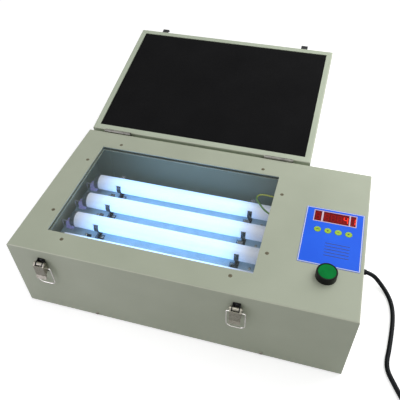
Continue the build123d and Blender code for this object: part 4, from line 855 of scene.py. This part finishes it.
# %% Tree of a striped tube
wire_tree, given = open_tree("striped_tube", "Tube", Line="Geometry", Radius="Float", Steps="Int",
                             Sides="Int", Finish="Material")
even_line = node(wire_tree, "GeometryNodeResampleCurve",
                 {"Curve": given.outputs["Line"], "Count": given.outputs["Steps"]})
along = node(wire_tree, "GeometryNodeSplineParameter")
with_run = node(wire_tree, "GeometryNodeStoreNamedAttribute",
                {"Geometry": even_line.outputs[0], "Name": "run", "Value": along.outputs["Length"]},
                data_type="FLOAT", domain="POINT")
outline = node(wire_tree, "GeometryNodeCurvePrimitiveCircle",
               {"Resolution": given.outputs["Sides"], "Radius": given.outputs["Radius"]})
spot = node(wire_tree, "GeometryNodeInputPosition")
turned_by = node(wire_tree, "ShaderNodeSeparateXYZ", {0: spot.outputs[0]})
around = node(wire_tree, "ShaderNodeMath", {0: turned_by.outputs[1], 1: turned_by.outputs[0]},
              operation="ARCTAN2")
with_round = node(wire_tree, "GeometryNodeStoreNamedAttribute",
                  {"Geometry": outline.outputs[0], "Name": "round", "Value": around.outputs[0]},
                  data_type="FLOAT", domain="POINT")
tube = node(wire_tree, "GeometryNodeCurveToMesh",
            {"Curve": with_run.outputs[0], "Profile Curve": with_round.outputs[0], "Fill Caps": True})
soft = node(wire_tree, "GeometryNodeSetShadeSmooth", {0: tube.outputs[0]})
close_tree(wire_tree, soft.outputs[0], given.outputs["Finish"])
print("nodes of the tube:", len(wire_tree.nodes))

# %% [markdown]
# The finish adds the two measures up to an angle and takes its cosine: where that is high, the
# insulation is yellow. PVC is smooth and slightly glossy, so the stripe's edge is crisp.

# %% Striped insulation
STRIPE_TWIST = 40.0          # radians in each metre
STRIPE_FROM, STRIPE_TO = 0.35, 0.45
insulation = finish("green_yellow_insulation", ("#5E8F2E", "#527F28"), 12, 1.0, 0.01, (0.35, 0.5))
tree, shader = insulation.node_tree, shader_of(insulation)
run = node(tree, "ShaderNodeAttribute", attribute_name="run")
twist = node(tree, "ShaderNodeMath", {0: run.outputs["Fac"], 1: STRIPE_TWIST}, operation="MULTIPLY")
turned_to = node(tree, "ShaderNodeAttribute", attribute_name="round")
spiral = node(tree, "ShaderNodeMath", {0: turned_to.outputs["Fac"], 1: twist.outputs[0]},
              operation="ADD")
wave = node(tree, "ShaderNodeMath", {0: spiral.outputs[0]}, operation="COSINE")
stripe = node(tree, "ShaderNodeMapRange",
              {"Value": wave.outputs[0], "From Min": STRIPE_FROM, "From Max": STRIPE_TO})
striped = node(tree, "ShaderNodeMix",
               {0: stripe.outputs[0], 6: shader.inputs["Base Color"].links[0].from_socket,
                7: colour("#C9CC3C")}, data_type="RGBA")
tree.links.new(striped.outputs[2], shader.inputs["Base Color"])
print("stripe turns once in", round(2 * math.pi / STRIPE_TWIST / MM), "mm")

# %% Earth wire
WIRE_DIAMETER, WIRE_STEPS, WIRE_SIDES = 3.0, 110, 12
EARTH_POINTS = (
    (400.0, 229.0, 99.0), (372.0, 229.0, 99.0), (347.0, 232.0, 100.0), (328.0, 231.5, 101.0),
    (322.5, 221.5, 102.0), (330.0, 209.0, 102.0), (345.0, 193.0, 101.0), (368.0, 183.0, 100.0),
    (400.0, 183.0, 100.0),
)
wire = bpy.data.objects.new("striped_earth_wire", smooth_line("earth_line", EARTH_POINTS, 1.0, 12))
bpy.context.scene.collection.objects.link(wire)
wire = grow(wire, wire_tree, Radius=WIRE_DIAMETER / 2 * MM, Steps=WIRE_STEPS, Sides=WIRE_SIDES,
            Finish=insulation)
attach(wire, "housing")
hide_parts("earth_wire")
print("earth wire faces:", len(wire.data.polygons))

# %% [markdown]
# ## Print on the panel
# The label is screen printed: a white border, a pale frame round the three display windows, and five
# ruled lines. A material could paint them, but a printed edge is sharp at any distance, and the mesh
# should have it too. So each mark is a low tablet of ink, 0.06 mm proud, with its foot a hair inside
# the film. The display's segments and the key signs are made alike.

# %% Tablets of ink
def marks(name, tablets, low, high, material, body):
    """Low tablets between two heights; each is a list of (x, y) corners, anticlockwise."""
    bm = bmesh.new()
    for corners in tablets:
        lower = [bm.verts.new(at(x, y, low)) for x, y in corners]
        upper = [bm.verts.new(at(x, y, high)) for x, y in corners]
        bm.faces.new(upper)
        bm.faces.new(list(reversed(lower)))
        for n in range(len(corners)):
            m = (n + 1) % len(corners)
            bm.faces.new([lower[n], lower[m], upper[m], upper[n]])
    mesh = bpy.data.meshes.new(name)
    bm.to_mesh(mesh)
    bm.free()
    mesh.materials.append(material)
    piece = bpy.data.objects.new(name, mesh)
    bpy.context.scene.collection.objects.link(piece)
    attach(piece, body)
    print(name, "tablets:", len(tablets))


def bar(x0, y0, x1, y1):
    """The corners of an upright rectangle."""
    return [(x0, y0), (x1, y0), (x1, y1), (x0, y1)]


def frame_bars(x0, y0, x1, y1, width):
    """Four bars round a rectangle, inside its outline."""
    return [bar(x0, y0, x1, y0 + width), bar(x0, y1 - width, x1, y1),
            bar(x0, y0 + width, x0 + width, y1 - width),
            bar(x1 - width, y0 + width, x1, y1 - width)]


# %% Border of the label
LABEL = (408.7, 77.7, 494.6, 187.0)
LABEL_TOP = 139.2
INK, INK_BITE = 0.06, 0.02
BORDER_INSET, BORDER_WIDTH = 0.5, 1.1
# Inks are matt pigment in a thin film: flat colour, soft sheen, hardly any grain.
white_ink = finish("white_screen_ink", ("#E6EAF2", "#DDE3EE"), 20, 0.6, 0.005, (0.4, 0.5))
frame_ink = finish("pale_pink_screen_ink", ("#E2C9D6", "#D8BCCB"), 20, 0.6, 0.005, (0.4, 0.5))
dark_ink = finish("dark_blue_screen_ink", ("#0E1838", "#0A1230"), 20, 0.6, 0.005, (0.4, 0.5))


def label_marks(name, tablets, ink):
    """Marks printed on the label."""
    marks(name, tablets, LABEL_TOP - INK_BITE, LABEL_TOP + INK, ink, "housing")


border = frame_bars(LABEL[0] + BORDER_INSET, LABEL[1] + BORDER_INSET, LABEL[2] - BORDER_INSET,
                    LABEL[3] - BORDER_INSET, BORDER_WIDTH)
label_marks("label_border", border, white_ink)

# %% Frame of the display and ruled lines
WINDOWS = ((421.8, 432.1), (434.8, 472.6), (474.7, 482.6))
WINDOW_LOW, WINDOW_HIGH = 160.0, 180.5
FRAME_REACH, FRAME_WIDTH = 1.3, 1.25
FRAME_GAP = FRAME_REACH - FRAME_WIDTH
LINES, LINE_PITCH = 5, 5.6
FIRST_LINE = (443.0, 118.7, 477.5, 119.6)
around_display = frame_bars(WINDOWS[0][0] - FRAME_REACH, WINDOW_LOW - FRAME_REACH,
                            WINDOWS[-1][1] + FRAME_REACH, WINDOW_HIGH + FRAME_REACH, FRAME_WIDTH)
around_display += [bar(left[1] + FRAME_GAP, WINDOW_LOW - FRAME_GAP, right[0] - FRAME_GAP,
                       WINDOW_HIGH + FRAME_GAP) for left, right in zip(WINDOWS, WINDOWS[1:])]
label_marks("display_frame", around_display, frame_ink)
x0, y0, x1, y1 = FIRST_LINE
ruled = [bar(x0, y0 - LINE_PITCH * n, x1, y1 - LINE_PITCH * n) for n in range(LINES)]
label_marks("ruled_lines", ruled, dark_ink)

# %% [markdown]
# A seven-segment digit is moulded in red plastic, with a clear bar over each diode. The unlit bars
# show as a slightly brighter red, and the lit ones glow. Two digits are lit. A glow above 1 would
# bleach to white in this plain view, so the emission stays below it and keeps its red.

# %% Display segments
SEGMENTS = {"top": (0, 1), "middle": (0, 0.5), "bottom": (0, 0), "high_left": (0, 0.5),
            "high_right": (1, 0.5), "low_left": (0, 0), "low_right": (1, 0)}
DIGIT_WIDTH, DIGIT_HEIGHT, SEGMENT_WIDTH, SEGMENT_GAP = 5.4, 12.5, 1.3, 0.2
DIGIT_XS, DIGIT_Y = (424.3, 437.4, 446.7, 456.0, 465.2, 476.0), 164.0
DISPLAY_LOW, DISPLAY_HIGH = 138.69, 138.75
LIT = {465.2: ("high_left", "high_right", "middle", "low_right"), 476.0: ("high_right", "low_right")}


def segment(x, y, name):
    """One six-sided segment of a digit whose lower left corner is at x, y."""
    column, row = SEGMENTS[name]
    half = SEGMENT_WIDTH / 2
    sx, sy = x + column * DIGIT_WIDTH, y + row * DIGIT_HEIGHT
    if name in ("top", "middle", "bottom"):
        a, b = sx + SEGMENT_GAP, sx + DIGIT_WIDTH - SEGMENT_GAP
        return [(a, sy), (a + half, sy - half), (b - half, sy - half), (b, sy),
                (b - half, sy + half), (a + half, sy + half)]
    a, b = sy + SEGMENT_GAP, sy + DIGIT_HEIGHT / 2 - SEGMENT_GAP
    return [(sx, a), (sx + half, a + half), (sx + half, b - half), (sx, b), (sx - half, b - half),
            (sx - half, a + half)]


resting, glowing = [], []
for x in DIGIT_XS:
    for name in SEGMENTS:
        (glowing if name in LIT.get(x, ()) else resting).append(segment(x, DIGIT_Y, name))
unlit = finish("unlit_display_segment", ("#A80E0C", "#960B0A"), 6, 1.0, 0.005, (0.3, 0.4),
               Specular_IOR_Level=0.08)
lit_red = finish("lit_display_segment", ("#FF3A22", "#F0301C"), 6, 1.0, 0.005, (0.3, 0.4),
                 Specular_IOR_Level=0.08, Emission_Color=colour("#FF2A14"), Emission_Strength=0.8)
marks("resting_segments", resting, DISPLAY_LOW, DISPLAY_HIGH, unlit, "housing")
marks("lit_segments", glowing, DISPLAY_LOW, DISPLAY_HIGH, lit_red, "housing")

# %% [markdown]
# Each key carries a plain sign, printed in dark ink: two bars, a plus, a minus and an arrow. A sign
# has to sink with its key, so each is a piece of its own and rides on that key's body.

# %% Key signs
KEY_TOP, KEY_Y = 139.7, 142.8
FIRST_KEY, KEY_PITCH = 429.2, 15.0
SIGN_BITE, SIGN_INK = 0.05, 0.03
SIGNS = (
    [bar(-2.6, -0.9, 2.6, -0.3), bar(-2.6, 0.3, 2.6, 0.9)],
    [bar(-1.8, -0.4, 1.8, 0.4), bar(-0.4, 0.4, 0.4, 1.8), bar(-0.4, -1.8, 0.4, -0.4)],
    [bar(-1.8, -0.4, 1.8, 0.4)],
    [[(-1.5, -1.7), (1.9, 0.0), (-1.5, 1.7)]],
)
sign_ink = finish("black_key_ink", ("#2A3312", "#20280E"), 6, 0.6, 0.005, (0.4, 0.5))
for n, sign in enumerate(SIGNS):
    middle = FIRST_KEY + KEY_PITCH * n
    tablets = [[(middle + x, KEY_Y + y) for x, y in corners] for corners in sign]
    marks("key_sign_%d" % (n + 1), tablets, KEY_TOP - SIGN_BITE, KEY_TOP + SIGN_INK, sign_ink,
          "set_key_%d_body" % (n + 1))
